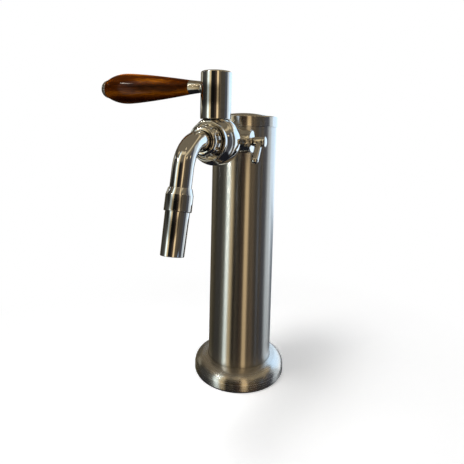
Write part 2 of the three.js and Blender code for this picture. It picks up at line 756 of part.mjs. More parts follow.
function valveSeat() {
  const back = ballReach - SEAT_BACK;
  const ring = tube(VALVE_CAVITY_RADIUS - CLEARANCE, VALVE_INLET_RADIUS, back, back + SEAT_HEIGHT);
  return cut(ring, ballSphere(BALL_RADIUS + CLEARANCE));
}

function frontSeat() {
  return valveSeat().rotateY(HALF).translate(0, 0, ballReach * 2);
}

function valveBall() {
  const wide = BALL_RADIUS + OVERRUN;
  const bore = alongRight(rod(BALL_BORE, -wide, wide)).translate(0, 0, ballReach);
  const slotBottom = BALL_RADIUS - BALL_SLOT_DEPTH;
  const slot = block(-wide, wide, slotBottom, wide, -BALL_SLOT_WIDTH / 2, BALL_SLOT_WIDTH / 2);
  return cut(ballSphere(BALL_RADIUS), bore, slot.translate(0, 0, ballReach));
}

// Pieces on the valve's upright axis, with heights over the tap's axis
const barrelFoot = VALVE_FLAT + CLEARANCE;
const barrelTop = barrelFoot + BARREL_HEIGHT;
const screwSeat = barrelTop - BARREL_EDGE - BARREL_SCREW_HEAD_HEIGHT;
const handleRise = barrelTop - HANDLE_DROP;

function valveStem() {
  const tongueFoot = BALL_RADIUS - BALL_SLOT_DEPTH + CLEARANCE;
  const tongueTop = tongueFoot + STEM_TONGUE_HEIGHT + CLEARANCE;
  const half = STEM_TONGUE_WIDTH / 2;
  const across = Math.sqrt(STEM_RADIUS * STEM_RADIUS - half * half);
  const tongue = block(-across, across, -half, half, tongueFoot, tongueTop + CLEARANCE);
  const shaft = rod(STEM_RADIUS, tongueTop, STEM_TOP);
  const tapped = rod(BARREL_SCREW_RADIUS + CLEARANCE,
    screwSeat - BARREL_SCREW_LENGTH - CLEARANCE, STEM_TOP + OVERRUN, SIDES_TINY);
  return cut(join(shaft, tongue), tapped);
}

function stemSeal() {
  const top = VALVE_FLAT - CLEARANCE - GLAND_HEIGHT;
  return tube(GLAND_RADIUS, STEM_RADIUS + CLEARANCE, top - STEM_SEAL_THICKNESS, top);
}

function stemGland() {
  const top = VALVE_FLAT - CLEARANCE;
  return tube(GLAND_RADIUS, STEM_RADIUS + CLEARANCE, top - GLAND_HEIGHT, top);
}

function stopPin() {
  const top = barrelFoot + STOP_PIN_ENGAGEMENT;
  const pin = rod(STOP_PIN_RADIUS, VALVE_FLAT - STOP_PIN_DEPTH, top, SIDES_TINY);
  return pin.translate(0, -STOP_PIN_CIRCLE, 0);
}

// A curved groove under the barrel that lets it turn from closed to open round the pin.
function stopGroove() {
  const half = STOP_PIN_RADIUS + CLEARANCE;
  const spare = half / STOP_PIN_CIRCLE;
  const end = -QUARTER + spare;
  const start = -QUARTER - radians(STOP_TURN) - spare;
  const shape = new THREE.Shape();
  shape.absarc(0, 0, STOP_PIN_CIRCLE + half, start, end, false);
  shape.absarc(0, 0, STOP_PIN_CIRCLE - half, end, start, true);
  const options = { depth: OVERRUN + STOP_PIN_ENGAGEMENT + CLEARANCE, bevelEnabled: false };
  return new THREE.ExtrudeGeometry(shape, options).translate(0, 0, barrelFoot - OVERRUN);
}

function stemBarrel() {
  const outside = turned([
    [0, barrelFoot],
    [BARREL_RADIUS - BARREL_FOOT_CHAMFER, barrelFoot],
    [BARREL_RADIUS, barrelFoot + BARREL_FOOT_CHAMFER],
    ...arc(BARREL_RADIUS - BARREL_EDGE, barrelTop - BARREL_EDGE,
      BARREL_EDGE, BARREL_EDGE, 0, QUARTER, EDGE_STEPS),
    [0, barrelTop],
  ], SIDES_LARGE);
  const sideways = (geometry) => geometry.rotateY(-QUARTER).translate(0, 0, handleRise);
  const neckDepth = BARREL_RADIUS - FERRULE_NECK_SINK - CLEARANCE;
  return cut(
    outside,
    rod(STEM_RADIUS + CLEARANCE, barrelFoot - OVERRUN, STEM_TOP + CLEARANCE),
    rod(BARREL_SCREW_RADIUS + CLEARANCE, barrelFoot, barrelTop),
    rod(BARREL_COUNTERBORE, screwSeat, barrelTop + OVERRUN),
    sideways(rod(ROD_RADIUS + CLEARANCE, ROD_START - CLEARANCE, BARREL_RADIUS + OVERRUN)),
    sideways(rod(FERRULE_NECK_RADIUS + CLEARANCE, neckDepth, BARREL_RADIUS + OVERRUN)),
    stopGroove(),
  );
}

function barrelScrew() {
  const top = screwSeat + BARREL_SCREW_HEAD_HEIGHT;
  const half = BARREL_SCREW_SLOT / 2;
  const wide = BARREL_SCREW_HEAD_RADIUS + OVERRUN;
  const screw = turned([
    [0, screwSeat - BARREL_SCREW_LENGTH],
    [BARREL_SCREW_RADIUS, screwSeat - BARREL_SCREW_LENGTH],
    [BARREL_SCREW_RADIUS, screwSeat],
    [BARREL_SCREW_HEAD_RADIUS, screwSeat],
    [BARREL_SCREW_HEAD_RADIUS, top],
    [0, top],
  ]);
  return cut(screw, block(-wide, wide, -half, half, top - BARREL_SCREW_SLOT, top + OVERRUN));
}

// Side handle, with distances out from the barrel's axis
const ferruleStart = BARREL_RADIUS + CLEARANCE;
const gripEnd = FERRULE_END + GRIP_LENGTH;

function handleRod() {
  return rod(ROD_RADIUS, ROD_START, gripEnd + END_CAP_SOCKET - CLEARANCE, SIDES_SMALL);
}

function handleFerrule() {
  const bore = ROD_RADIUS + CLEARANCE;
  const round = FERRULE_START_RADIUS - FERRULE_NECK_RADIUS;
  return turned([
    [bore, BARREL_RADIUS - FERRULE_NECK_SINK],
    [FERRULE_NECK_RADIUS, BARREL_RADIUS - FERRULE_NECK_SINK],
    ...arc(FERRULE_NECK_RADIUS, ferruleStart + round, round, -round, QUARTER, 0, EDGE_STEPS),
    [FERRULE_END_RADIUS, FERRULE_END],
    [bore, FERRULE_END],
  ], SIDES_MEDIUM);
}

// The grip swells from the ferrule to a belly near its end, then rounds in to the end cap.
function gripRadius(share) {
  if (share < GRIP_BELLY_SHARE) {
    const left = 1 - share / GRIP_BELLY_SHARE;
    return THREE.MathUtils.lerp(GRIP_BELLY_RADIUS, FERRULE_END_RADIUS, left ** GRIP_SWELL_POWER);
  }
  const past = (share - GRIP_BELLY_SHARE) / (1 - GRIP_BELLY_SHARE);
  return THREE.MathUtils.lerp(GRIP_BELLY_RADIUS, GRIP_END_RADIUS, past ** GRIP_NOSE_POWER);
}

function handleGrip() {
  const bore = ROD_RADIUS + CLEARANCE;
  const skin = Array.from({ length: GRIP_STEPS + 1 }, (_, i) => {
    const share = i / GRIP_STEPS;
    return [gripRadius(share), FERRULE_END + GRIP_LENGTH * share];
  });
  return turned([[bore, FERRULE_END], ...skin, [bore, gripEnd]], SIDES_MEDIUM);
}

function handleEndCap() {
  const bore = ROD_RADIUS + CLEARANCE;
  return turned([
    [bore, gripEnd],
    ...arc(0, gripEnd, GRIP_END_RADIUS, END_CAP_DOME, 0, QUARTER),
    [0, gripEnd + END_CAP_SOCKET],
    [bore, gripEnd + END_CAP_SOCKET],
  ], SIDES_MEDIUM);
}

// Castellated ring, spout and nozzle

function spannerRing() {
  const ring = turned([
    [RING_BORE, ringBack],
    [RING_RADIUS, ringBack],
    [RING_RADIUS, ringShoulder - RING_NOTCH_DEPTH / 2],
    [RING_RADIUS - RING_NOTCH_DEPTH / 2, ringShoulder],
    ...arc(RING_LIP_RADIUS, ringShoulder, RING_DOME_RADIUS - RING_LIP_RADIUS, RING_DOME_RISE, 0, QUARTER),
    [RING_BORE, ringShoulder + RING_DOME_RISE],
  ], SIDES_LARGE);
  const floor = RING_RADIUS - RING_NOTCH_DEPTH;
  const width = HALF * RING_RADIUS / RING_NOTCHES;
  const back = ringShoulder - RING_NOTCH_BACK;
  const front = ringShoulder + RING_DOME_RISE + OVERRUN;
  const notches = Array.from({ length: RING_NOTCHES }, (_, i) => (
    block(floor, RING_RADIUS + OVERRUN, -width / 2, width / 2, back, front).rotateZ(FULL * i / RING_NOTCHES)
  ));
  return cut(ring, ...notches);
}

function spoutSeal() {
  return tube(SPOUT_FLANGE_RADIUS - CLEARANCE, SPOUT_BORE, seatFront + CLEARANCE, spoutSealFront);
}

function spout() {
  const lead = SPOUT_BEND_START - spoutSealFront;
  const run = SPOUT_STRAIGHT + collarTop - nozzleSealTop;
  const path = new BentPath(spoutSealFront, lead, SPOUT_BEND, radians(SPOUT_TURN), run, SPOUT_STEPS);
  const bend = sweptTube(SPOUT_RADIUS, SPOUT_BORE, path, SIDES_SMALL);
  const wallMiddle = (SPOUT_BORE + SPOUT_RADIUS) / 2;
  const flange = tube(SPOUT_FLANGE_RADIUS, wallMiddle, spoutSealFront, spoutFlangeFront);
  return join(bend, flange);
}

function nozzleCollar() {
  const bore = SPOUT_RADIUS + CLEARANCE;
  const taperStart = collarTop - COLLAR_TAPER;
  return turned([
    [bore, NOZZLE_LENGTH],
    [COLLAR_RADIUS - COLLAR_EDGE, NOZZLE_LENGTH],
    ...arc(COLLAR_RADIUS - COLLAR_EDGE, NOZZLE_LENGTH + COLLAR_EDGE,
      COLLAR_EDGE, -COLLAR_EDGE, QUARTER, 0, EDGE_STEPS),
    [COLLAR_RADIUS, taperStart],
    [bore + COLLAR_TOP_WALL, collarTop],
    [bore, collarTop],
  ], SIDES_MEDIUM);
}

function nozzle() {
  const screenFoot = nozzleNeckTop - SCREEN_THICKNESS;
  const recess = nozzleBore + SCREEN_LEDGE;
  return turned([
    [nozzleBore, 0],
    [NOZZLE_MOUTH_RADIUS, 0],
    [NOZZLE_TOP_RADIUS, NOZZLE_LENGTH],
    [NOZZLE_NECK_RADIUS, NOZZLE_LENGTH],
    [NOZZLE_NECK_RADIUS, nozzleNeckTop],
    [recess, nozzleNeckTop],
    [recess, screenFoot],
    [nozzleBore, screenFoot],
  ], SIDES_MEDIUM);
}

function nozzleSeal() {
  return tube(NOZZLE_NECK_RADIUS, SPOUT_BORE, nozzleNeckTop, nozzleSealTop);
}

function nozzleScreen() {
  const radius = nozzleBore + SCREEN_LEDGE - CLEARANCE;
  const foot = nozzleNeckTop - SCREEN_THICKNESS;
  const disc = rod(radius, foot, nozzleNeckTop - CLEARANCE, SIDES_MEDIUM);
  const holes = Array.from({ length: SCREEN_HOLES }, (_, i) => {
    const hole = rod(SCREEN_HOLE_RADIUS, foot - OVERRUN, nozzleNeckTop + OVERRUN, SIDES_TINY);
    const ringPlace = i === 0 ? 0 : SCREEN_RING_RADIUS;
    return hole.translate(ringPlace, 0, 0).rotateZ(FULL * i / (SCREEN_HOLES - 1));
  });
  return cut(disc, ...holes);
}

// Assembly

function addBase(tower) {
  piece(tower, 'base_gasket', baseGasket(), blackRubber());
  piece(tower, 'base_plate', basePlate(), plainSteel());
  piece(tower, 'base_flange', baseFlange(), brushedSteel());
  atFixings(fixingNut).forEach((nut, i) => piece(tower, `fixing_nut_${i + 1}`, nut, plainSteel()));
}

function addColumn(tower) {
  piece(tower, 'column_tube', columnTube(), brushedSteel());
  piece(tower, 'column_cap', columnCap(), brushedSteel());
  piece(tower, 'cap_liner', capLiner(), greyPolymer());
  piece(tower, 'line_coupler', lineCoupler(), greyPolymer());
}

function addShank(tap) {
  piece(tap, 'shank_rosette', shankRosette(), polishedSteel());
  piece(tap, 'saddle_washer', saddleWasher(), plainSteel());
  piece(tap, 'shank', shank(), plainSteel());
  piece(tap, 'shank_nut', shankNut(), plainSteel());
  piece(tap, 'tail_seal', tailSeal(), blackRubber());
  piece(tap, 'tail_nut', tailNut(), plainSteel());
  piece(tap, 'beer_line', beerLine(), plainSteel());
}

function addCompensator(tower, tap) {
  piece(tap, 'inlet_seal', inletSeal(), blackRubber());
  piece(tap, 'compensator_body', compensatorBody(), polishedSteel());
  piece(tap, 'compensator_cone', compensatorCone(), whitePolymer());
  const spindle = frameAt(tower, 0, -compensatorMiddle, tapHeight, 0, QUARTER);
  piece(spindle, 'compensator_bonnet', compensatorBonnet(), polishedSteel());
  piece(spindle, 'spindle_seal', spindleSeal(), blackRubber());
  piece(spindle, 'compensator_spindle', compensatorSpindle(), plainSteel());
  piece(spindle, 'compensator_lever', compensatorLever(), polishedSteel());
  piece(spindle, 'lever_screw', leverScrew(), polishedSteel());
}

function addValve(tap) {
  piece(tap, 'valve_body', valveBody(), polishedSteel());
  piece(tap, 'rear_seat', valveSeat(), whitePolymer());
  piece(tap, 'front_seat', frontSeat(), whitePolymer());
  piece(tap, 'valve_ball', valveBall(), polishedSteel());
}

function addHead(tower) {
  const head = frameAt(tower, 0, -ballReach, tapHeight);
  piece(head, 'stem_seal', stemSeal(), blackRubber());
  piece(head, 'stem_gland', stemGland(), plainSteel());
  piece(head, 'stop_pin', stopPin(), plainSteel());
  piece(head, 'valve_stem', valveStem(), plainSteel());
  piece(head, 'stem_barrel', stemBarrel(), polishedSteel());
  piece(head, 'barrel_screw', barrelScrew(), plainSteel());
  const handle = frameAt(head, 0, 0, handleRise, 0, -QUARTER);
  piece(handle, 'handle_rod', handleRod(), plainSteel());
  piece(handle, 'handle_ferrule', handleFerrule(), polishedSteel());
  piece(handle, 'handle_grip', handleGrip(), varnishedWood());
  piece(handle, 'handle_end_cap', handleEndCap(), polishedSteel());
}

function addSpout(tap) {
  piece(tap, 'spout_seal', spoutSeal(), blackRubber());
  piece(tap, 'spout', spout(), polishedSteel());
  piece(tap, 'spanner_ring', spannerRing(), polishedSteel());
  const turn = radians(SPOUT_TURN);
  const toMouth = SPOUT_STRAIGHT + collarTop;
  const down = SPOUT_BEND * (1 - Math.cos(turn)) + toMouth * Math.sin(turn);
  const forward = SPOUT_BEND_START + SPOUT_BEND * Math.sin(turn) + toMouth * Math.cos(turn);
  const mouth = frameAt(tap, 0, -down, forward, turn - HALF);
  piece(mouth, 'nozzle_collar', nozzleCollar(), polishedSteel());
  piece(mouth, 'nozzle', nozzle(), polishedSteel());
  piece(mouth, 'nozzle_seal', nozzleSeal(), blackRubber());
  piece(mouth, 'nozzle_screen', nozzleScreen(), plainSteel());
}

const tower = new THREE.Group();
const tap = frameAt(tower, 0, 0, tapHeight, QUARTER);
addBase(tower);
addColumn(tower);
addShank(tap);
addCompensator(tower, tap);
addValve(tap);
addHead(tower);
addSpout(tap);

export default tower;
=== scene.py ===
"""Looks of a slim single-tap beer tower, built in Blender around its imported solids."""

import json
import logging
import math
from abc import ABC, abstractmethod
from collections.abc import Callable, Iterable, Sequence
from dataclasses import dataclass
from enum import Enum
from itertools import pairwise
from typing import Any, Self

import bmesh
import bpy
from mathutils import Matrix, Vector

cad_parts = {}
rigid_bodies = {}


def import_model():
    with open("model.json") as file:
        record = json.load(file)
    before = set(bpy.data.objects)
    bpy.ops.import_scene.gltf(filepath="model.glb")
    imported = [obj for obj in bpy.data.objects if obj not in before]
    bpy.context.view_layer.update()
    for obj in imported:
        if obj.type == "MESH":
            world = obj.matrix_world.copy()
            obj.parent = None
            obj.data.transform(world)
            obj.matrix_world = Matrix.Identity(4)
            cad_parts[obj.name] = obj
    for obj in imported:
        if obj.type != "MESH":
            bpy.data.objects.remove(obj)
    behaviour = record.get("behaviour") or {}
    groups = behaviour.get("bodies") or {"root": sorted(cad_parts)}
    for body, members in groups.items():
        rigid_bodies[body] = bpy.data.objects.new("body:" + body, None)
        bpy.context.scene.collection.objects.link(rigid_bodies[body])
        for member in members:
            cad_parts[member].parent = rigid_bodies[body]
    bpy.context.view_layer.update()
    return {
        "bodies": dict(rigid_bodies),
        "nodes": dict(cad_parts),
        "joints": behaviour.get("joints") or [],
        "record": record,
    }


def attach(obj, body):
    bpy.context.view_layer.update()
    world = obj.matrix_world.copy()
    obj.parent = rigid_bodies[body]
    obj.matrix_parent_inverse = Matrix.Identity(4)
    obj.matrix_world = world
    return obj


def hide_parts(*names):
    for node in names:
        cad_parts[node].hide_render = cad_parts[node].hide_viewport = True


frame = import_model()

Point = tuple[float, float]
Corner = tuple[float, ...]
Place = tuple[float, float, float]
Colour = tuple[float, float, float]

# Pieces are made in millimetres. Finishes, lamps and the camera are in metres.
MM = 0.001
WELD = 0.001  # the distance under which vertices are merged
NEAR = 0.01  # how far a vertex may be from the height or radius that it is looked for at
OFF_AXIS = 1.3  # a small turn, in degrees, that keeps the edges of two solids apart
TRIM = 0.02  # how far a bore begins outside the face that it opens
CLEAR = 4.0  # how far a tool sticks out of the solid that it cuts
TAP_HEIGHT = 283.5
BALL_REACH = 86.2  # from the column's axis forward to the middle of the ball
TAP: Place = (0, 0, TAP_HEIGHT)  # where the tap's axis crosses the column's
SPINDLE: Place = (0, -51.8, TAP_HEIGHT)  # where the compensator's spindle crosses the tap's axis
BALL: Place = (0, -BALL_REACH, TAP_HEIGHT)  # where the stem's axis crosses the tap's
HANDLE: Place = (0, -BALL_REACH, 337.7)  # where the handle's axis crosses the stem's
AIM: Place = (-0.07, -0.086, 0.34)  # where the small lamps point, on the handle
WHITE: Colour = (1.0, 1.0, 1.0)

LOG = logging.getLogger("beer_tower")


class Facing(Enum):
    """Which way a turned piece's own upward axis points in its place, as turns about X and Y."""

    UP = (0.0, 0.0)
    FORWARD = (90.0, 0.0)
    RIGHT = (0.0, 90.0)
    LEFT = (0.0, -90.0)
    NOZZLE = (-12.7, 0.0)

    @property
    def turn(self) -> Place:
        """The turn as Euler angles in radians."""
        about_x, about_y = self.value
        return math.radians(about_x), math.radians(about_y), 0.0


class Fit(Enum):
    """How one solid is fitted to another."""

    CUT = "DIFFERENCE"
    JOIN = "UNION"


def arc(centre: Point, across: float, rise: float, start: float, end: float, steps: int = 12) -> list[Point]:
    """Points on an arc of an outline.

    Args:
        centre: The arc's centre as radius and height.
        across: Its reach along the radius.
        rise: Its reach along the height.
        start: The angle it starts at, in degrees.
        end: The angle it ends at, in degrees.
        steps: How many straight stretches it has.

    Returns:
        The points in order, both ends included.
    """
    angles = (math.radians(start + (end - start) * i / steps) for i in range(steps + 1))
    return [(centre[0] + across * math.cos(a), centre[1] + rise * math.sin(a)) for a in angles]


def fillet(before: Point, corner: Point, after: Point, radius: float, steps: int = 6) -> list[Point]:
    """Points of the round arc that takes the place of a sharp corner.

    Args:
        before: The point before the corner.
        corner: The corner itself.
        after: The point after the corner.
        radius: The arc's radius.
        steps: How many straight stretches it has.

    Returns:
        The arc's points, from the side of before to the side of after.
    """
    tip = Vector(corner)
    back = (Vector(before) - tip).normalized()
    ahead = (Vector(after) - tip).normalized()
    half = back.angle(ahead) / 2
    reach = radius / math.tan(half)
    points = []
    for i in range(steps + 1):
        s = i / steps
        first, middle, last = (1 - s) ** 2, 2 * math.sin(half) * s * (1 - s), s**2
        blend = (tip + back * reach) * first + tip * middle + (tip + ahead * reach) * last
        points.append(tuple(blend / (first + middle + last)))
    return points


def outline(*corners: Corner) -> list[Point]:
    """Turns corners into an outline. A corner's third number is the radius that rounds it.

    Args:
        corners: Radius and height of each corner in order, with an optional rounding.

    Returns:
        The outline's points.
    """
    points: list[Point] = []
    for i, (radius, height, *ease) in enumerate(corners):
        if ease:
            before, after = corners[i - 1][:2], corners[(i + 1) % len(corners)][:2]
            points += fillet(before, (radius, height), after, ease[0])
        else:
            points.append((radius, height))
    return points


class Workpiece:
    """A mesh on the bench, in millimetres until it is dressed."""

    def __init__(self, shape: bpy.types.Object) -> None:
        """Takes up an object that already has a mesh."""
        self.shape = shape

    @staticmethod
    def clear() -> None:
        """Lets go of every object, because operators act on all that is selected."""
        if bpy.context.mode != "OBJECT":
            bpy.ops.object.mode_set(mode="OBJECT")
        bpy.ops.object.select_all(action="DESELECT")

    @classmethod
    def started(cls, at: Point) -> Self:
        """Starts an outline as one vertex of a new mesh, in edit mode.

        Args:
            at: The vertex's radius and height.

        Returns:
            The new piece.
        """
        cls.clear()
        bpy.ops.mesh.primitive_plane_add(size=1, enter_editmode=True)
        bpy.ops.mesh.select_mode(type="VERT")
        bpy.ops.mesh.merge(type="CENTER")
        bpy.ops.transform.translate(value=(at[0], 0, at[1]))
        return cls(bpy.context.object)

    @classmethod
    def turned(cls, points: Sequence[Point], steps: int = 96, sweep: float = 360) -> Self:
        """Draws an outline in a plane through the axis and spins it into a closed solid.

        Args:
            points: The outline as radius and height. It is closed unless both ends are on the axis.
            steps: How many flats the solid has round its axis.
            sweep: How far round it goes, in degrees. Below a full turn, its ends are filled.

        Returns:
            The turned piece, upright on its own axis.
        """
        on_axis = points[0][0] == points[-1][0] == 0
        path = list(points) if on_axis else [*points, points[0]]
        piece = cls.started(path[0])
        for (radius, height), (next_radius, next_height) in pairwise(path):
            step = (next_radius - radius, 0, next_height - height)
            bpy.ops.mesh.extrude_region_move(TRANSFORM_OT_translate={"value": step})
        bpy.ops.mesh.select_all(action="SELECT")
        bpy.ops.mesh.spin(steps=steps, angle=math.radians(sweep), center=(0, 0, 0), axis=(0, 0, 1))
        return piece.sealed(fill=sweep < 360)

    def sealed(self, fill: bool = False) -> Self:
        """Merges doubles, drops loose edges and turns faces outwards, then leaves edit mode.

        Args:
            fill: Whether open ends are closed too.

        Returns:
            The same piece.
        """
        bpy.ops.mesh.select_all(action="SELECT")
        bpy.ops.mesh.remove_doubles(threshold=WELD)
        bpy.ops.mesh.delete_loose(use_verts=True, use_edges=True, use_faces=False)
        if fill:
            bpy.ops.mesh.select_all(action="SELECT")
            bpy.ops.mesh.fill_holes(sides=0)
        bpy.ops.mesh.select_all(action="SELECT")
        bpy.ops.mesh.normals_make_consistent(inside=False)
        bpy.ops.object.mode_set(mode="OBJECT")
        return self

    def picked(self) -> Self:
        """Makes this piece the only one that operators act on.

        Returns:
            The same piece.
        """
        self.clear()
        self.shape.select_set(True)
        bpy.context.view_layer.objects.active = self.shape
        return self

    def placed(self, facing: Facing, at: Place = (0, 0, 0)) -> Self:
        """Turns and moves the piece to its place, and keeps both in its mesh.

        Args:
            facing: Where its own axis points.
            at: Where its own origin goes.

        Returns:
            The same piece.
        """
        self.shape.rotation_euler = facing.turn
        self.shape.location = at
        return self.settled()

    def settled(self) -> Self:
        """Keeps the place and size of the piece's object in its mesh.

        Returns:
            The same piece.
        """
        self.picked()
        bpy.ops.object.transform_apply(location=True, rotation=True, scale=True)
        return self

    def swung(self, degrees: float) -> Self:
        """Turns the piece about the upright axis through its origin, in its mesh."""
        self.shape.rotation_euler = (0, 0, math.radians(degrees))
        return self.settled()

    def finished(self, kind: str, **settings: Any) -> Self:
        """Gives the piece a modifier and applies it.

        Args:
            kind: The modifier's type.
            settings: What is set on it.

        Returns:
            The same piece.
        """
        self.picked()
        step = self.shape.modifiers.new(kind.lower(), kind)
        for name, value in settings.items():
            setattr(step, name, value)
        bpy.ops.object.modifier_apply(modifier=step.name)
        return self

    def fitted(self, how: Fit, *tools: "Workpiece") -> Self:
        """Cuts the tools from this piece or joins them to it.

        Args:
            how: The kind of fit.
            tools: The pieces that are used up on it.

        Returns:
            The same piece.
        """
        for tool in tools:
            self.finished("BOOLEAN", operation=how.value, solver="EXACT", object=tool.shape)
            bpy.data.objects.remove(tool.shape)
        return self

    def choose(self, kind: str, rule: Callable[[Vector], bool]) -> None:
        """Selects, in edit mode, the faces or edges whose vertices all pass a rule.

        Args:
            kind: FACE or EDGE.
            rule: Says whether a place belongs to the choice.
        """
        bpy.ops.mesh.select_mode(type=kind)
        bpy.ops.mesh.select_all(action="DESELECT")
        mesh = bmesh.from_edit_mesh(self.shape.data)
        for part in mesh.faces if kind == "FACE" else mesh.edges:
            part.select_set(all(rule(vertex.co) for vertex in part.verts))
        mesh.select_flush_mode()
        bmesh.update_edit_mesh(self.shape.data)


def bar(radius: float, low: float, high: float, steps: int, ease: float) -> Workpiece:
    """A round bar on its own axis.

    Args:
        radius: Its radius.
        low: Where it starts along its axis.
        high: Where it ends.
        steps: How many flats it has.
        ease: The rounding of both its edges.

    Returns:
        The bar.
    """
    points = outline((0, low), (radius, low, ease), (radius, high, ease), (0, high))
    return Workpiece.turned(points, steps).swung(OFF_AXIS)


def drill(*stretches: Point, end: float, steps: int = 61) -> Workpiece:
    """A stepped cutting tool on its own axis.

    Args:
        stretches: The radius of each stretch and where it starts.
        end: Where the last stretch ends.
        steps: How many flats it has. An odd number keeps its edges off those of the piece.

    Returns:
        The tool.
    """
    stops = [*(start for _, start in stretches[1:]), end]
    sides = [(radius, at) for (radius, start), stop in zip(stretches, stops) for at in (start, stop)]
    return Workpiece.turned([(0, sides[0][1]), *sides, (0, end)], steps).swung(OFF_AXIS)


class Wire:
    """One value on a node sheet. Arithmetic on it adds Math nodes."""

    def __init__(self, sheet: "NodeSheet", socket: bpy.types.NodeSocket) -> None:
        """Wraps an output socket of a node on the sheet."""
        self.sheet, self.socket = sheet, socket

    def __add__(self, other: Any) -> "Wire":
        """This value plus another."""
        return self.sheet.math("ADD", self, other)

    def __sub__(self, other: Any) -> "Wire":
        """This value less another."""
        return self.sheet.math("SUBTRACT", self, other)

    def __rsub__(self, other: Any) -> "Wire":
        """Another value less this one."""
        return self.sheet.math("SUBTRACT", other, self)

    def __mul__(self, other: Any) -> "Wire":
        """This value times another."""
        return self.sheet.math("MULTIPLY", self, other)

    def __pow__(self, other: Any) -> "Wire":
        """This value to a power."""
        return self.sheet.math("POWER", self, other)

    def __rpow__(self, other: Any) -> "Wire":
        """Another value to the power of this one."""
        return self.sheet.math("POWER", other, self)

    __radd__ = __add__
    __rmul__ = __mul__

    def eased(self, low: float, high: float) -> "Wire":
        """A smooth step of this value, from 0 at low to 1 at high."""
        return self.sheet.add("ShaderNodeMapRange", {"interpolation_type": "SMOOTHSTEP"}, {0: self, 1: low, 2: high})


class NodeSheet:
    """The nodes of one material or of the world."""

    def __init__(self, owner: bpy.types.ID) -> None:
        """Empties the owner's node tree and takes it over.

        Args:
            owner: The material or world.
        """
        owner.use_nodes = True
        self.owner, self.tree = owner, owner.node_tree
        self.tree.nodes.clear()

    def add(self, kind: str, settings: dict[str, Any], inputs: dict[Any, Any], output: int | str = 0) -> Wire | None:
        """Adds one node.

        Args:
            kind: The node's type.
            settings: What is set on the node itself, with the stops of a ramp under stops.
            inputs: What goes into its sockets, as wires, numbers or colours.
            output: Which of its sockets is returned.

        Returns:
            The wire from that socket, or None from a node that ends a sheet.
        """
        node = self.tree.nodes.new(kind)
        for name, value in settings.items():
            if name == "stops":
                self._set_stops(node.color_ramp, value)
            else:
                setattr(node, name, value)
        for name, value in inputs.items():
            if isinstance(value, Wire):
                self.tree.links.new(value.socket, node.inputs[name])
            elif isinstance(value, tuple) and node.inputs[name].type == "RGBA":
                node.inputs[name].default_value = (*value, 1)
            else:
                node.inputs[name].default_value = value
        return Wire(self, node.outputs[output]) if node.outputs else None

    @staticmethod
    def _set_stops(ramp: bpy.types.ColorRamp, stops: Sequence[tuple[float, Corner]]) -> None:
        """Gives a ramp its stops.

        Args:
            ramp: The ramp.
            stops: The place and colour of each in order. A colour's fourth number is its alpha.
        """
        while len(ramp.elements) < len(stops):
            ramp.elements.new(1.0)
        for element, (place, colour) in zip(ramp.elements, stops):
            element.position, element.color = place, (*colour, 1)[:4]

    def math(self, operation: str, first: Any, second: Any = 0.0) -> Wire:
        """One Math node's value."""
        return self.add("ShaderNodeMath", {"operation": operation}, {0: first, 1: second})

    def place(self) -> Wire:
        """The place on the piece, in object coordinates."""
        return self.add("ShaderNodeTexCoord", {}, {}, "Object")

    def moved(self, vector: Wire, by: Place = (0, 0, 0), scale: Place = (1, 1, 1)) -> Wire:
        """A vector scaled and then moved by a Mapping node."""
        return self.add("ShaderNodeMapping", {}, {"Vector": vector, "Location": by, "Scale": scale})

    def split(self, vector: Wire) -> tuple[Wire, Wire, Wire]:
        """The three parts of a vector."""
        first = self.add("ShaderNodeSeparateXYZ", {}, {0: vector})
        return tuple(Wire(self, first.socket.node.outputs[i]) for i in range(3))

    def joined(self, x: Any, y: Any, z: Any) -> Wire:
        """A vector from its three parts."""
        return self.add("ShaderNodeCombineXYZ", {}, {0: x, 1: y, 2: z})

    def noise(self, vector: Wire, scale: float = 1.0, detail: float = 2, roughness: float = 0.5) -> Wire:
        """A soft random value from 0 to 1 over a vector."""
        inputs = {"Vector": vector, "Scale": scale, "Detail": detail, "Roughness": roughness}
        return self.add("ShaderNodeTexNoise", {}, inputs)

    def mixed(self, share: Any, first: Any, second: Any) -> Wire:
        """A colour between two others, from the Mix node's colour sockets, which only numbers tell apart."""
        return self.add("ShaderNodeMix", {"data_type": "RGBA"}, {0: share, 6: first, 7: second}, 2)

    def scaled(self, vector: Wire, factor: Wire) -> Wire:
        """A colour or vector made brighter or longer."""
        return self.add("ShaderNodeVectorMath", {"operation": "SCALE"}, {0: vector, 3: factor})

    def bump(self, height: Wire, depth: float) -> Wire:
        """A normal that follows a height, with its depth in metres."""
        return self.add("ShaderNodeBump", {}, {"Height": height, "Distance": depth})

    def glow(self, colour: Any, strength: Any = 1.0) -> Wire:
        """A shader that shines by itself."""
        return self.add("ShaderNodeEmission", {}, {"Color": colour, "Strength": strength})

    def ended(self, shader: Wire) -> bpy.types.Material:
        """Ends a material in a shader."""
        self.add("ShaderNodeOutputMaterial", {}, {"Surface": shader})
        return self.owner


class Finish(ABC):
    """A finish, which becomes a material with one Principled shader."""

    @abstractmethod
    def sockets(self, sheet: NodeSheet, place: Wire) -> dict[str, Any]:
        """Works out the finish.

        Args:
            sheet: The material's nodes.
            place: The place on the piece.

        Returns:
            What goes into the shader's sockets.
        """

    def made(self, name: str) -> bpy.types.Material:
        """Makes the material.

        Args:
            name: The material's name.

        Returns:
            The material.
        """
        sheet = NodeSheet(bpy.data.materials.new(name))
        inputs = self.sockets(sheet, sheet.place())
        return sheet.ended(sheet.add("ShaderNodeBsdfPrincipled", {}, inputs))


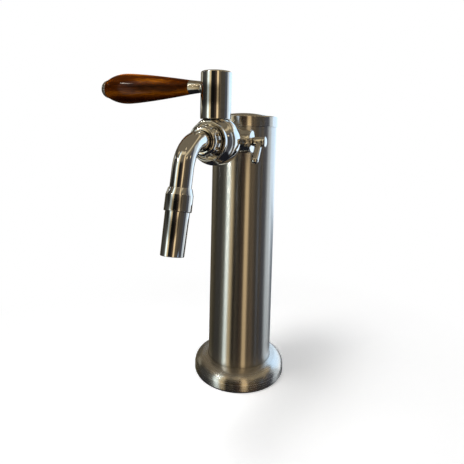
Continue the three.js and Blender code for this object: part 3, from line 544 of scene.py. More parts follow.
@dataclass(frozen=True)
class BrushedSteel(Finish):
    """Steel with a fine grain round the column, which blurs reflections up and down but not sideways."""

    pale: Colour = (0.645, 0.62, 0.585)
    dark: Colour = (0.60, 0.575, 0.54)
    roughness: float = 0.29
    stretch: float = 1.0
    grain: float = 2600.0
    streak: float = 420.0
    grain_along: float = 9.0
    streak_along: float = 0.6  # a share of grain_along
    grain_share: float = 0.6
    grain_blur: float = 0.03
    streak_blur: float = 0.012
    turn: float = 0.25  # a quarter turn, so that highlights spread up and down
    depth: float = 2.0e-7

    def sockets(self, sheet: NodeSheet, place: Wire) -> dict[str, Any]:
        """Works out the grain's lines, which follow the radius and height on the piece.

        Args:
            sheet: The material's nodes.
            place: The place on the piece.

        Returns:
            What goes into the shader's sockets.
        """
        x, y, z = sheet.split(place)
        radius = (x * x + y * y) ** 0.5
        along = (x - y) * self.grain_along
        fine = sheet.noise(
            sheet.joined(radius * self.grain, z * self.grain, along), detail=3, roughness=0.65)
        broad = sheet.noise(sheet.joined(radius * self.streak, z * self.streak, along * self.streak_along))
        mottle = fine * self.grain_share + broad * (1 - self.grain_share)
        return {
            "Base Color": sheet.mixed(mottle.eased(0.2, 0.8), self.dark, self.pale),
            "Metallic": 1.0,
            "Roughness": self.roughness + (fine - 0.5) * self.grain_blur + (broad - 0.5) * self.streak_blur,
            "Anisotropic": self.stretch,
            "Anisotropic Rotation": self.turn,
            "Normal": sheet.bump(fine, self.depth),
        }


@dataclass(frozen=True)
class PolishedSteel(Finish):
    """Bright polished steel with a faint waviness, fine wipe marks and a few duller spots."""

    colour: Colour = (0.74, 0.73, 0.71)
    stained: Colour = (0.66, 0.645, 0.62)
    roughness: float = 0.045
    wipes: Place = (900, 900, 140)
    spots: float = 160.0
    wave: float = 95.0
    wipe_blur: float = 0.03
    spot_blur: float = 0.07
    wipe_height: float = 0.004
    depth: float = 3.0e-5

    def sockets(self, sheet: NodeSheet, place: Wire) -> dict[str, Any]:
        """Works out the wipe marks, spots and waviness.

        Args:
            sheet: The material's nodes.
            place: The place on the piece.

        Returns:
            What goes into the shader's sockets.
        """
        wipe = sheet.noise(sheet.moved(place, scale=self.wipes), detail=3, roughness=0.6)
        haze = sheet.noise(place, self.spots, detail=3, roughness=0.55)
        wave = sheet.noise(place, self.wave, detail=1)
        return {
            "Base Color": sheet.mixed(haze.eased(0.45, 0.75), self.colour, self.stained),
            "Metallic": 1.0,
            "Roughness": self.roughness + wipe * self.wipe_blur + haze.eased(0.5, 0.8) * self.spot_blur,
            "Normal": sheet.bump(wave + wipe * self.wipe_height, self.depth),
        }


@dataclass(frozen=True)
class PlainSteel(Finish):
    """Turned steel of the working parts, with dull tool marks."""

    pale: Colour = (0.58, 0.57, 0.555)
    dark: Colour = (0.44, 0.43, 0.415)
    roughness: float = 0.36
    marks: Place = (1500, 1500, 90)
    clouds: float = 220.0
    mark_blur: float = 0.2
    cloud_blur: float = 0.08
    depth: float = 8e-6

    def sockets(self, sheet: NodeSheet, place: Wire) -> dict[str, Any]:
        """Works out the tool marks and clouding.

        Args:
            sheet: The material's nodes.
            place: The place on the piece.

        Returns:
            What goes into the shader's sockets.
        """
        marks = sheet.noise(sheet.moved(place, scale=self.marks), detail=3, roughness=0.6)
        cloud = sheet.noise(place, self.clouds, detail=3)
        return {
            "Base Color": sheet.mixed(cloud.eased(0.35, 0.7), self.dark, self.pale),
            "Metallic": 1.0,
            "Roughness": self.roughness + (marks - 0.5) * self.mark_blur + cloud * self.cloud_blur,
            "Normal": sheet.bump(marks, self.depth),
        }


@dataclass(frozen=True)
class VarnishedWood(Finish):
    """Reddish turned wood with its grain along the handle, under a clear gloss varnish."""

    dark: Colour = (0.018, 0.0034, 0.0002)
    middle: Colour = (0.080, 0.0165, 0.0004)
    light: Colour = (0.37, 0.105, 0.004)
    tones: Place = (0.24, 0.5, 0.78)
    centre: Place = (0.0, 0.0862, -0.3377)
    pith: Point = (-0.011, 0.006)
    rings: float = 420.0
    wander: float = 5.0
    drifts: Place = (18, 60, 60)
    fibres: Place = (34, 900, 900)
    pores: Place = (90, 2600, 2600)
    pore_shift: Place = (0.3, 0, 0)
    pore_share: float = 0.55
    ring_share: float = 0.38
    fibre_share: float = 0.42
    drift_share: float = 0.28
    painted_top_light: float = 9.0  # painted top light: how fast the wood's colour pales with height, per metre
    # painted top light: a constant the tone is lowered by, so that the lower side of the grip stays dark
    painted_light_offset: float = 0.025
    roughness: float = 0.34
    fibre_blur: float = 0.14
    varnish: float = 0.24
    varnish_roughness: float = 0.025
    varnish_ior: float = 1.42
    depth: float = 1.2e-5

    def sockets(self, sheet: NodeSheet, place: Wire) -> dict[str, Any]:
        """Works out the rings, fibres and pores, with painted top light that makes the wood paler towards the top.

        Args:
            sheet: The material's nodes.
            place: The place on the piece.

        Returns:
            What goes into the shader's sockets.
        """
        place = sheet.moved(place, by=self.centre)
        drift = sheet.noise(sheet.moved(place, scale=self.drifts), detail=3, roughness=0.55)
        _, y, z = sheet.split(place)
        ring = ((y - self.pith[0]) ** 2.0 + (z - self.pith[1]) ** 2.0) ** 0.5 * self.rings + drift * self.wander
        band = sheet.math("SINE", ring) * 0.5 + 0.5
        fibre = sheet.noise(sheet.moved(place, scale=self.fibres), detail=4, roughness=0.6)
        pores = sheet.noise(sheet.moved(place, by=self.pore_shift, scale=self.pores), detail=2)
        tone = band * self.ring_share + fibre * self.fibre_share + drift * self.drift_share
        # painted top light: the tone is raised with height on the grip, so its top renders paler as if lit from above
        tone = tone + z * self.painted_top_light - self.painted_light_offset
        stops = list(zip(self.tones, (self.dark, self.middle, self.light)))
        colour = sheet.add("ShaderNodeValToRGB", {"stops": stops}, {0: tone})
        return {
            "Base Color": sheet.mixed(pores.eased(0.62, 0.74) * self.pore_share, colour, self.dark),
            "Roughness": self.roughness + fibre * self.fibre_blur,
            "Coat Weight": self.varnish,
            "Coat Roughness": self.varnish_roughness,
            "Coat IOR": self.varnish_ior,
            "Specular IOR Level": 0.0,
            "Normal": sheet.bump(fibre, self.depth),
        }


@dataclass(frozen=True)
class Mottled(Finish):
    """A dull finish with a faint mottle and a fine grain, such as rubber or moulded plastic."""

    colour: Colour
    shaded: Colour
    roughness: float = 0.42
    blur: float = 0.14
    mottle: float = 180.0
    edges: Point = (0.3, 0.75)
    detail: float = 3
    detail_roughness: float = 0.5
    grain: float = 1900.0
    depth: float = 1.5e-5

    def sockets(self, sheet: NodeSheet, place: Wire) -> dict[str, Any]:
        """Works out the mottle and grain.

        Args:
            sheet: The material's nodes.
            place: The place on the piece.

        Returns:
            What goes into the shader's sockets.
        """
        mottle = sheet.noise(place, self.mottle, self.detail, self.detail_roughness)
        grain = sheet.noise(place, self.grain)
        return {
            "Base Color": sheet.mixed(mottle.eased(*self.edges), self.colour, self.shaded),
            "Roughness": self.roughness + mottle * self.blur,
            "Normal": sheet.bump(grain, self.depth),
        }


FINISHES = {
    "brushed_steel": BrushedSteel(),
    "polished_steel": PolishedSteel(),
    "cap_steel": BrushedSteel((0.70, 0.67, 0.63), (0.65, 0.62, 0.58), roughness=0.19, stretch=0.9),
    "flange_steel": BrushedSteel((0.69, 0.665, 0.63), (0.64, 0.615, 0.58), roughness=0.27, stretch=0.9),
    "satin_steel": PolishedSteel((0.56, 0.52, 0.46), (0.48, 0.45, 0.39), roughness=0.20),
    "plain_steel": PlainSteel(),
    "varnished_wood": VarnishedWood(),
    "rubber": Mottled((0.011, 0.011, 0.012), (0.045, 0.043, 0.04), roughness=0.62, blur=0.25, mottle=260.0,
                      edges=(0.4, 0.8), detail=4, detail_roughness=0.6, grain=2400.0, depth=3e-5),
    "white_polymer": Mottled((0.72, 0.70, 0.65), (0.62, 0.60, 0.55)),
    "grey_polymer": Mottled((0.075, 0.077, 0.083), (0.05, 0.051, 0.055), roughness=0.48),
}


class Wardrobe:
    """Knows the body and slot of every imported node, and puts each slot's finish on its pieces."""

    def __init__(self, packed: dict[str, Any]) -> None:
        """Reads the nodes' bodies and slots, and makes each finish once.

        Args:
            packed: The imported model.
        """
        self.nodes = packed["nodes"]
        bodies = packed["record"]["behaviour"]["bodies"]
        self.bodies = {node: body for body, members in bodies.items() for node in members}
        self.slots = {name: node.data.materials[0].name for name, node in self.nodes.items()}
        self.finishes = {slot: finish.made(f"{slot}_finish") for slot, finish in FINISHES.items()}
        self.replaced: set[str] = set()

    def dress(self, piece: Workpiece, node: str, crease: float = 32, finish: str = "") -> None:
        """Gives a finished piece its name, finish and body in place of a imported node.

        Args:
            piece: The finished piece, in its place.
            node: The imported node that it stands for.
            crease: The angle above which an edge stays sharp, in degrees.
            finish: A finish other than the usual one of the node's slot.
        """
        piece.shape.scale = (MM, MM, MM)
        piece.settled()
        bpy.ops.object.shade_smooth_by_angle(angle=math.radians(crease))
        shape = piece.shape
        shape.name = shape.data.name = f"{node}_shell"
        shape.data.materials.clear()
        shape.data.materials.append(self.finishes[finish or self.slots[node]])
        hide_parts(node)
        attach(shape, self.bodies[node])
        self.replaced.add(node)
        LOG.info("%s on %s, %d faces", shape.name, self.bodies[node], len(shape.data.polygons))

    def dress_rest(self) -> None:
        """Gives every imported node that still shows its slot's finish."""
        for name, node in self.nodes.items():
            if name not in self.replaced:
                node.material_slots[0].material = self.finishes[self.slots[name]]
                LOG.info("%s keeps its solid", name)


@dataclass(frozen=True)
class Foot:
    """The round flange with its wide shoulder, standing on the gasket."""

    radius: float = 54.6
    bottom: float = 1.5
    rim: float = 8.0
    shoulder: float = 12.5
    top: float = 19.9
    slope: float = 0.6
    wall: float = 3.0
    bore: float = 38.3

    def build(self, wardrobe: Wardrobe) -> None:
        """Makes the flange.

        Args:
            wardrobe: Dresses the piece.
        """
        centre = (self.radius - self.shoulder, self.rim)
        crown = self.top - self.slope
        rise = crown - self.rim
        edge = outline((self.radius - self.wall, self.bottom), (self.radius, self.bottom, 0.5), (self.radius, self.rim))
        points = [
            *edge[:-1],  # the arc starts at the last corner
            *arc(centre, self.shoulder, rise, 0, 90, steps=28),
            *fillet((centre[0], crown), (self.bore, self.top), (self.bore, self.bottom), radius=0.35),
            (self.bore, crown - self.wall),
            *arc(centre, self.shoulder - self.wall, rise - self.wall, 90, 0, steps=14),
        ]
        wardrobe.dress(Workpiece.turned(points, steps=144), "base_flange", finish="flange_steel")


@dataclass(frozen=True)
class Column:
    """The tall tube with the hole that the tap's shank goes through."""

    radius: float = 38.0
    wall: float = 1.5
    foot: float = 6.5
    top: float = 311.6
    edge: float = 0.3
    hole: float = 10.3
    rows: tuple[float, ...] = (100.0, 200.0, 262.0, 305.0)

    def build(self, wardrobe: Wardrobe) -> None:
        """Makes the tube.

        Args:
            wardrobe: Dresses the piece.
        """
        bore = self.radius - self.wall
        up = [(self.radius, height) for height in (self.foot, *self.rows)]
        down = [(bore, height) for height in reversed(self.rows)]
        ends = outline((self.radius, self.top, self.edge), (bore, self.top, self.edge), (bore, self.foot))
        tube = Workpiece.turned([*up, *ends[:-1], *down, (bore, self.foot)], steps=144)
        hole = drill((self.hole, 0), end=self.radius + CLEAR).placed(Facing.FORWARD, TAP)
        wardrobe.dress(tube.fitted(Fit.CUT, hole), "column_tube")


@dataclass(frozen=True)
class Cap:
    """The slip-over cap with its low bell."""

    inner: float = 38.3
    outer: float = 39.2
    seam: float = 300.5
    rim: float = 312.8
    edge: float = 1.8
    bell: float = 33.0
    rise: float = 3.9
    power: float = 1.15
    bell_steps: int = 24

    def _bell(self, base: float, shares: Iterable[float]) -> list[Point]:
        """Points of the bell over a base height, at shares of its radius."""
        return [(self.bell * s, base + self.rise * (1 - s * s) ** self.power) for s in shares]

    def build(self, wardrobe: Wardrobe) -> None:
        """Makes the cap.

        Args:
            wardrobe: Dresses the piece.
        """
        wall = self.outer - self.inner
        shares = [i / self.bell_steps for i in range(self.bell_steps + 1)]
        points = [
            *outline((self.inner, self.seam), (self.outer, self.seam, 0.25), (self.outer, self.rim))[:-1],
            *arc((self.outer - self.edge, self.rim - self.edge), self.edge, self.edge, 0, 90),
            *self._bell(self.rim, reversed(shares)),
            *self._bell(self.rim - wall, shares),
            (self.inner, self.rim - wall),
        ]
        wardrobe.dress(Workpiece.turned(points, steps=144), "column_cap", finish="cap_steel")


@dataclass(frozen=True)
class Rosette:
    """The polished disc between the column and the tap."""

    radius: float = 16.3
    back: float = 32.66
    front: float = 41.5
    edge: float = 1.2
    bore: float = 10.3
    column: float = 38.3
    reach: float = 25.0  # how far the column's tool goes above and below the axis

    def build(self, wardrobe: Wardrobe) -> None:
        """Makes the disc and hollows its back to the column.

        Args:
            wardrobe: Dresses the piece.
        """
        points = outline(
            (self.bore, self.back), (self.radius, self.back),
            (self.radius, self.front, self.edge), (self.bore, self.front))
        disc = Workpiece.turned(points).placed(Facing.FORWARD, TAP)
        column = drill((self.column, TAP_HEIGHT - self.reach), end=TAP_HEIGHT + self.reach, steps=143)
        wardrobe.dress(disc.fitted(Fit.CUT, column), "shank_rosette")


@dataclass(frozen=True)
class Compensator:
    """The flow compensator: its body with the side boss, and the bonnet on the boss."""

    radius: float = 15.0
    back: float = 41.8
    front: float = 61.8
    boss: float = 12.4
    boss_start: float = 1.4
    boss_end: float = 27.0
    chamber: float = 8.3
    shank: float = 10.3
    shank_end: float = 47.0
    bonnet: float = 12.0
    bonnet_end: float = 29.8
    rim: float = 28.1
    rim_round: float = 0.9
    plug: float = 7.2
    plug_start: float = 12.0
    spindle: float = 4.1
    gap: float = 0.3
    back_room: float = 16.6
    front_room: float = 13.8
    reach: float = 20.0  # how far the bore's tool sticks out at both ends

    def _body(self) -> Workpiece:
        """Makes the barrel and boss in one, with their bores.

        Returns:
            The body in its place.
        """
        barrel = bar(self.radius, self.back, self.front, steps=128, ease=0.5).placed(Facing.FORWARD, TAP)
        boss = bar(self.boss, self.boss_start, self.boss_end, steps=128, ease=0.35).placed(Facing.RIGHT, SPINDLE)
        bore = drill(
            (self.back_room, self.back - self.reach), (self.shank, self.back - TRIM), (self.chamber, self.shank_end),
            (self.front_room, self.front + TRIM), end=self.front + self.reach)
        seat = drill((self.plug + self.gap, 0), end=self.boss_end + CLEAR)
        return barrel.fitted(Fit.JOIN, boss).fitted(
            Fit.CUT, bore.placed(Facing.FORWARD, TAP), seat.placed(Facing.RIGHT, SPINDLE))

    def _bonnet(self) -> Workpiece:
        """Makes the bonnet, whose face rises a little from its rounded rim to the middle.

        Returns:
            The bonnet in its place.
        """
        points = outline(
            (self.spindle, self.plug_start), (self.plug, self.plug_start, 0.3), (self.plug, self.boss_end),
            (self.bonnet, self.boss_end), (self.bonnet, self.rim, self.rim_round), (self.spindle, self.bonnet_end))
        return Workpiece.turned(points).placed(Facing.RIGHT, SPINDLE)

    def build(self, wardrobe: Wardrobe) -> None:
        """Makes the body and the bonnet."""
        wardrobe.dress(self._body(), "compensator_body")
        wardrobe.dress(self._bonnet(), "compensator_bonnet")


@dataclass(frozen=True)
class Lever:
    """The compensator's lever and the domed screw that holds it."""

    start: float = 30.1
    end: float = 40.3
    hub: float = 5.2
    bore: float = 3.2
    length: float = 28.4
    root: float = 3.3
    root_end: float = 6.7
    tip: float = 4.1
    tip_start: float = 24.3
    taper_round: float = 20.0
    along_hub: float = 0.6
    forward: float = 40.0
    screw: float = 5.8
    rim: float = 1.2
    dome: float = 1.9
    shank: float = 1.5
    shank_length: float = 7.0

    def _lever(self) -> Workpiece:
        """Makes the hub and its arm, which hangs forward of straight down.

        Returns:
            The lever in its place.
        """
        hub = bar(self.hub, self.start, self.end, steps=64, ease=0.4)
        side = outline(
            (0, 0), (self.root, 0), (self.root, self.root_end, self.taper_round),
            (self.tip, self.tip_start, self.taper_round), (self.tip, self.length))
        end = arc((0, self.tip_start), self.tip, self.length - self.tip_start, 0, 90, steps=14)
        arm = Workpiece.turned([*side[:-1], *end], steps=48)
        middle = self.start + (self.end - self.start) * self.along_hub
        arm.placed(Facing.RIGHT).swung(-self.forward).placed(Facing.UP, (0, 0, middle))
        hole = drill((self.bore, self.start - CLEAR), end=self.end + CLEAR)
        return hub.fitted(Fit.JOIN, arm).fitted(Fit.CUT, hole).placed(Facing.RIGHT, SPINDLE)

    def _screw(self) -> Workpiece:
        """Makes the screw with its low dome.

        Returns:
            The screw in its place.
        """
        foot = self.end - self.shank_length
        seat, rim = (self.screw, self.end), (self.screw, self.end + self.rim)
        points = [
            (0, foot), (self.shank, foot), (self.shank, self.end),
            *fillet((self.shank, self.end), seat, rim, radius=0.25),
            *arc((0, self.end + self.rim), self.screw, self.dome, 0, 90, steps=18),
        ]
        return Workpiece.turned(points, steps=64).placed(Facing.RIGHT, SPINDLE)

    def build(self, wardrobe: Wardrobe) -> None:
        """Makes the lever and its screw."""
        wardrobe.dress(self._lever(), "compensator_lever")
        wardrobe.dress(self._screw(), "lever_screw")


@dataclass(frozen=True)
class Valve:
    """The round ball housing with its stepped front, lip and the flat that carries the barrel."""

    back: float = 62.1
    hub: float = 13.5
    shoulder: float = 64.5
    shoulder_end: float = 16.5
    belly_back: float = 83.7
    belly_front: float = 93.2
    belly: float = 24.9
    step: float = 23.0
    step_width: float = 0.7
    cone_foot: float = 19.9
    cone_bulge: float = 0.3
    lip: float = 19.6
    lip_back: float = 100.2
    lip_start: float = 100.6
    lip_edge: float = 0.9
    front: float = 106.0
    front_lip: float = 19.5
    mouth: float = 103.2
    throat: float = 16.4
    throat_back: float = 100.4
    cavity: float = 14.2
    cavity_back: float = 72.3
    inlet: float = 6.5
    flat: float = 21.7
    flat_radius: float = 15.75
    stem: float = 5.3
    gland: float = 8.3
    gland_foot: float = 17.0
    pin: float = 1.4
    pin_depth: float = 3.0
    pin_circle: float = 11.0

    def _cone(self, steps: int = 14) -> list[Point]:
        """Works out the slightly bulging cone from the step to the lip.

        Args:
            steps: How many straight stretches it has.

        Returns:
            Its points, both ends included.
        """
        start, foot = (self.step, self.belly_front + self.step_width), (self.cone_foot, self.lip_back)
        across, forward = foot[0] - start[0], foot[1] - start[1]
        shares = (i / steps for i in range(steps + 1))
        return [(start[0] + across * s + self.cone_bulge * math.sin(math.pi * s), start[1] + forward * s)
                for s in shares]

    def _outside(self) -> list[Point]:
        """Works out the outer outline from the back hub to the front lip.

        Returns:
            Its points.
        """
        hub, mouth = (self.hub, self.shoulder), (self.throat, self.mouth)
        edge = self.step + self.step_width
        rise, fall = self.shoulder - self.belly_back, self.belly_front - self.belly_back
        return [
            *fillet((self.inlet, self.back), (self.hub, self.back), hub, radius=0.4),
            hub,
            *arc((self.shoulder_end, self.belly_back), self.belly - self.shoulder_end, rise, 90, 0, steps=30),
            *arc((edge, self.belly_back), self.belly - edge, fall, 0, 90, steps=14)[1:],
            *self._cone(),
            (self.lip, self.lip_start),
            *fillet((self.lip, self.front - self.lip_edge), (self.front_lip, self.front), mouth, radius=0.5, steps=8),
            *fillet((self.lip, self.front), mouth, (self.throat, self.throat_back), radius=0.4),
        ]

    def build(self, wardrobe: Wardrobe) -> None:
        """Makes the housing.

        Args:
            wardrobe: Dresses the piece.
        """
        points = [
            *self._outside(), (self.throat, self.throat_back), (self.cavity, self.throat_back),
            (self.cavity, self.cavity_back), (self.inlet, self.cavity_back), (self.inlet, self.back),
        ]
        housing = Workpiece.turned(points, steps=160).placed(Facing.FORWARD, TAP)
        seat = drill(
            (self.stem, 0), (self.gland, self.gland_foot), (self.flat_radius, self.flat),
            end=self.belly + CLEAR, steps=127).placed(Facing.UP, BALL)
        pin = drill((self.pin, self.flat - self.pin_depth), end=self.belly, steps=25)
        pin.placed(Facing.UP, (0, -BALL_REACH - self.pin_circle, TAP_HEIGHT))
        wardrobe.dress(housing.fitted(Fit.CUT, seat, pin), "valve_body")


@dataclass(frozen=True)
class Head:
    """The stem barrel over the housing and the screw in its top."""

    radius: float = 15.45
    foot: float = 22.0
    top: float = 68.8
    edge: float = 1.8
    bore: float = 5.3
    bore_top: float = 46.0
    screw: float = 3.0
    counterbore: float = 5.8
    counterbore_foot: float = 63.4
    screw_head: float = 5.4
    screw_head_height: float = 3.6
    screw_length: float = 24.0
    slot_length: float = 20.0
    slot_width: float = 1.4
    groove: float = 11.0
    groove_half: float = 1.4
    groove_depth: float = 2.1
    groove_start: float = 277.3
    groove_sweep: float = 104.6
    gap: float = 0.3
    rod: float = 3.7
    rod_start: float = 4.7
    neck: float = 4.9
    neck_start: float = 13.15

    def _groove(self) -> Workpiece:
        """Makes the tool that cuts the stop pin's groove.

        Returns:
            The tool, upright on the barrel's axis.
        """
        inner, outer = self.groove - self.groove_half, self.groove + self.groove_half
        below, floor = self.foot - CLEAR, self.foot + self.groove_depth
        section = [(inner, below), (outer, below), (outer, floor), (inner, floor)]
        return Workpiece.turned(section, steps=32, sweep=self.groove_sweep)

    def _barrel(self) -> Workpiece:
        """Makes the barrel with its bores, the handle's hole and the groove for the stop pin.

        Returns:
            The barrel in its place.
        """
        body = Workpiece.turned(outline(
            (0, self.foot), (self.radius, self.foot, 0.5), (self.radius, self.top, self.edge), (0, self.top)),
            steps=128)
        groove = self._groove()
        return body.placed(Facing.UP, BALL).fitted(
            Fit.CUT,
            drill((self.bore, self.foot - CLEAR), (self.screw + self.gap, self.bore_top),
                  (self.counterbore, self.counterbore_foot), end=self.top + CLEAR).placed(Facing.UP, BALL),
            drill((self.rod, self.rod_start), (self.neck, self.neck_start), end=self.radius + CLEAR).placed(
                Facing.LEFT, HANDLE),
            groove.swung(self.groove_start).placed(Facing.UP, BALL),
        )

    def _screw(self) -> Workpiece:
        """Makes the slotted screw in the barrel's top.

        Returns:
            The screw in its place.
        """
        seat = self.counterbore_foot
        foot, top = seat - self.screw_length, seat + self.screw_head_height
        points = outline(
            (0, foot), (self.screw, foot, 0.4), (self.screw, seat),
            (self.screw_head, seat), (self.screw_head, top, 0.5), (0, top))
        Workpiece.clear()
        bpy.ops.mesh.primitive_cube_add(
            size=1, location=(0, 0, top), scale=(self.slot_length, self.slot_width, self.slot_width * 2))
        slot = Workpiece(bpy.context.object)
        return Workpiece.turned(points, steps=64).fitted(Fit.CUT, slot.settled()).placed(Facing.UP, BALL)

    def build(self, wardrobe: Wardrobe) -> None:
        """Makes the barrel and the screw."""
        wardrobe.dress(self._barrel(), "stem_barrel")
        wardrobe.dress(self._screw(), "barrel_screw")


@dataclass(frozen=True)
class Handle:
    """The side handle: ferrule, turned wooden grip and domed end cap."""

    bore: float = 3.7
    neck: float = 4.6
    neck_start: float = 13.45
    start: float = 15.75
    start_radius: float = 5.9
    end: float = 28.8
    end_radius: float = 7.3
    grip_end: float = 130.0
    grip_steps: int = 72
    belly: float = 16.2
    belly_share: float = 0.75
    swell: float = 1.33
    close: float = 2.25
    cap_radius: float = 10.0
    cap_dome: float = 8.5
    cap_socket: float = 4.0

    def _grip_radius(self, share: float) -> float:
        """Works out how thick the grip is.

        Args:
            share: The share of the grip's length.

        Returns:
            Its radius there.
        """
        if share < self.belly_share:
            left = 1 - share / self.belly_share
            return self.belly + (self.end_radius - self.belly) * left**self.swell
        past = (share - self.belly_share) / (1 - self.belly_share)
        return self.belly + (self.cap_radius - self.belly) * past**self.close

    def _ferrule(self) -> Workpiece:
        """Makes the tapering ferrule between the barrel and the grip.

        Returns:
            The ferrule, upright on its own axis.
        """
        ease = self.start_radius - self.neck
        return Workpiece.turned([
            (self.bore, self.neck_start), (self.neck, self.neck_start),
            *arc((self.neck, self.start + ease), ease, -ease, 90, 0, steps=8),
            *fillet((self.start_radius, self.start), (self.end_radius, self.end), (self.bore, self.end), radius=0.2),
            (self.bore, self.end)])

    def _grip(self) -> Workpiece:
        """Makes the wooden grip, swelling to its belly and rounding in to the end cap.

        Returns:
            The grip, upright on its own axis.
        """
        steps, length = self.grip_steps, self.grip_end - self.end
        skin = [(self._grip_radius(i / steps), self.end + length * i / steps) for i in range(steps + 1)]
        start, end = (self.bore, self.end), (self.bore, self.grip_end)
        first = fillet(start, skin[0], skin[3], radius=0.35)
        last = fillet(skin[-2], skin[-1], end, radius=0.25)
        return Workpiece.turned([start, *first, *skin[1:-1], *last, end], steps=128)

    def _end_cap(self) -> Workpiece:
        """Makes the domed end cap, with a small round at its edge.

        Returns:
            The cap, upright on its own axis.
        """
        start, socket = (self.bore, self.grip_end), self.grip_end + self.cap_socket
        dome = arc((0, self.grip_end), self.cap_radius, self.cap_dome, 0, 90, steps=30)
        first = fillet(start, dome[0], dome[2], radius=0.25)
        return Workpiece.turned([start, *first, *dome[2:], (0, socket), (self.bore, socket)])

    def build(self, wardrobe: Wardrobe) -> None:
        """Makes the three turned pieces.

        Args:
            wardrobe: Dresses the pieces.
        """
        wardrobe.dress(self._ferrule().placed(Facing.LEFT, HANDLE), "handle_ferrule", finish="satin_steel")
        wardrobe.dress(self._grip().placed(Facing.LEFT, HANDLE), "handle_grip")
        wardrobe.dress(self._end_cap().placed(Facing.LEFT, HANDLE), "handle_end_cap")


@dataclass(frozen=True)
class SpannerRing:
    """The castellated ring that holds the spout, with its notches for a hook spanner."""

    radius: float = 16.1
    back: float = 103.7
    shoulder: float = 113.5
    dome: float = 14.2
    front: float = 117.3
    lip: float = 11.3
    bore: float = 10.2
    notches: int = 14
    flats: int = 12
    notch_half: float = 0.2501  # a share of the pitch, a little over a quarter so that the notch's own edges count
    notch_back: float = 106.4
    chamfer: float = 0.8
    taper: float = 0.8
    ease: float = 0.22
    sharp: float = 40.0

    def _in_notch(self, place: Vector) -> bool:
        """Whether a place is in the sector of a notch."""
        turns = math.atan2(place.y, place.x) / math.tau * self.notches
        return abs(turns - round(turns)) < self.notch_half

    def _is_tooth_face(self, place: Vector) -> bool:
        """Whether a place is on the stretch of the outside that a notch takes away."""
        outside = math.hypot(place.x, place.y) > self.dome - NEAR
        return outside and self.notch_back - NEAR < place.z < self.shoulder + NEAR and self._in_notch(place)

    def _is_notch_back(self, place: Vector) -> bool:
        """Whether a place is on the open edge at the back of a notch."""
        outside = math.hypot(place.x, place.y) > self.dome
        return outside and abs(place.z - self.notch_back) < NEAR and self._in_notch(place)

    def _ring(self) -> Workpiece:
        """Makes the ring before its notches, with a row of edges where each notch ends.

        Returns:
            The ring, upright on its own axis.
        """
        slope = self.radius - self.taper
        points = [
            (self.bore, self.back), (self.radius, self.back), (self.radius, self.notch_back),
            (slope, self.shoulder - self.chamfer), (slope - self.chamfer, self.shoulder),
            *arc((self.lip, self.shoulder), self.dome - self.lip, self.front - self.shoulder, 0, 90),
            *fillet((self.lip, self.front), (self.bore, self.front), (self.bore, self.back), radius=0.3)]
        return Workpiece.turned(points, steps=self.notches * self.flats)

    def _notch(self, ring: Workpiece) -> None:
        """Opens the notches, draws their back walls inwards and floors them.

        Args:
            ring: The ring that is notched.
        """
        ring.picked()
        bpy.ops.object.mode_set(mode="EDIT")
        ring.choose("FACE", self._is_tooth_face)
        bpy.ops.mesh.delete(type="FACE")
        ring.choose("EDGE", self._is_notch_back)
        bpy.ops.mesh.extrude_region_move()
        inward = self.dome / self.radius
        bpy.ops.transform.resize(value=(inward, inward, 1), center_override=(0, 0, 0))
        depth = self.shoulder - self.notch_back
        bpy.ops.mesh.extrude_region_move(TRANSFORM_OT_translate={"value": (0, 0, depth)})
        bpy.ops.mesh.select_all(action="SELECT")
        bpy.ops.mesh.remove_doubles(threshold=NEAR)
        ring.sealed(fill=True)

    def build(self, wardrobe: Wardrobe) -> None:
        """Makes the ring and bevels its sharp edges.

        Args:
            wardrobe: Dresses the piece.
        """
        ring = self._ring()
        self._notch(ring)
        ring.finished("BEVEL", width=self.ease, segments=2, limit_method="ANGLE", angle_limit=math.radians(self.sharp))
        wardrobe.dress(ring.placed(Facing.FORWARD, TAP), "spanner_ring", crease=50)


@dataclass(frozen=True)
class Spout:
    """The bent spout with the flange that the ring holds."""

    radius: float = 9.5
    wall: float = 2.5
    back: float = 101.5
    flange: float = 15.8
    flange_bore: float = 8.25
    flange_front: float = 103.7
    bend_start: float = 122.8
    bend: float = 30.0
    turn: float = 77.3
    run: float = 28.0

    @staticmethod
    def _draw(forward: float, up: float, stretches: int = 4) -> None:
        """Draws the selected ring of edges on in a straight line.

        Args:
            forward: How far it goes along Y.
            up: How far it goes along Z.
            stretches: How many rows of faces that makes.
        """
        for _ in range(stretches):
            step = (0, forward / stretches, up / stretches)
            bpy.ops.mesh.extrude_region_move(TRANSFORM_OT_translate={"value": step})

    def _tube(self) -> Workpiece:
        """Draws a ring of edges forward, spins it down, draws it on and gives it its wall.

        Returns:
            The tube in its place.
        """
        Workpiece.clear()
        bpy.ops.mesh.primitive_circle_add(
            vertices=72, radius=self.radius, fill_type="NOTHING",
            location=(0, -self.back, TAP_HEIGHT), rotation=Facing.FORWARD.turn)
        tube = Workpiece(bpy.context.object).settled()
        bpy.ops.object.mode_set(mode="EDIT")
        bpy.ops.mesh.select_all(action="SELECT")
        self._draw(self.back - self.bend_start, 0)
        turn = math.radians(self.turn)
        centre = (0, -self.bend_start, TAP_HEIGHT - self.bend)
        bpy.ops.mesh.spin(steps=40, angle=turn, center=centre, axis=(-1, 0, 0))
        self._draw(-math.cos(turn) * self.run, -math.sin(turn) * self.run)
        return tube.sealed().finished("SOLIDIFY", thickness=self.wall, offset=-1, use_even_offset=True)

    def build(self, wardrobe: Wardrobe) -> None:
        """Makes the spout.

        Args:
            wardrobe: Dresses the piece.
        """
        flange = Workpiece.turned(outline(
            (self.flange_bore, self.back), (self.flange, self.back),
            (self.flange, self.flange_front), (self.flange_bore, self.flange_front)))
        tube = self._tube().fitted(Fit.JOIN, flange.placed(Facing.FORWARD, TAP))
        wardrobe.dress(tube, "spout")


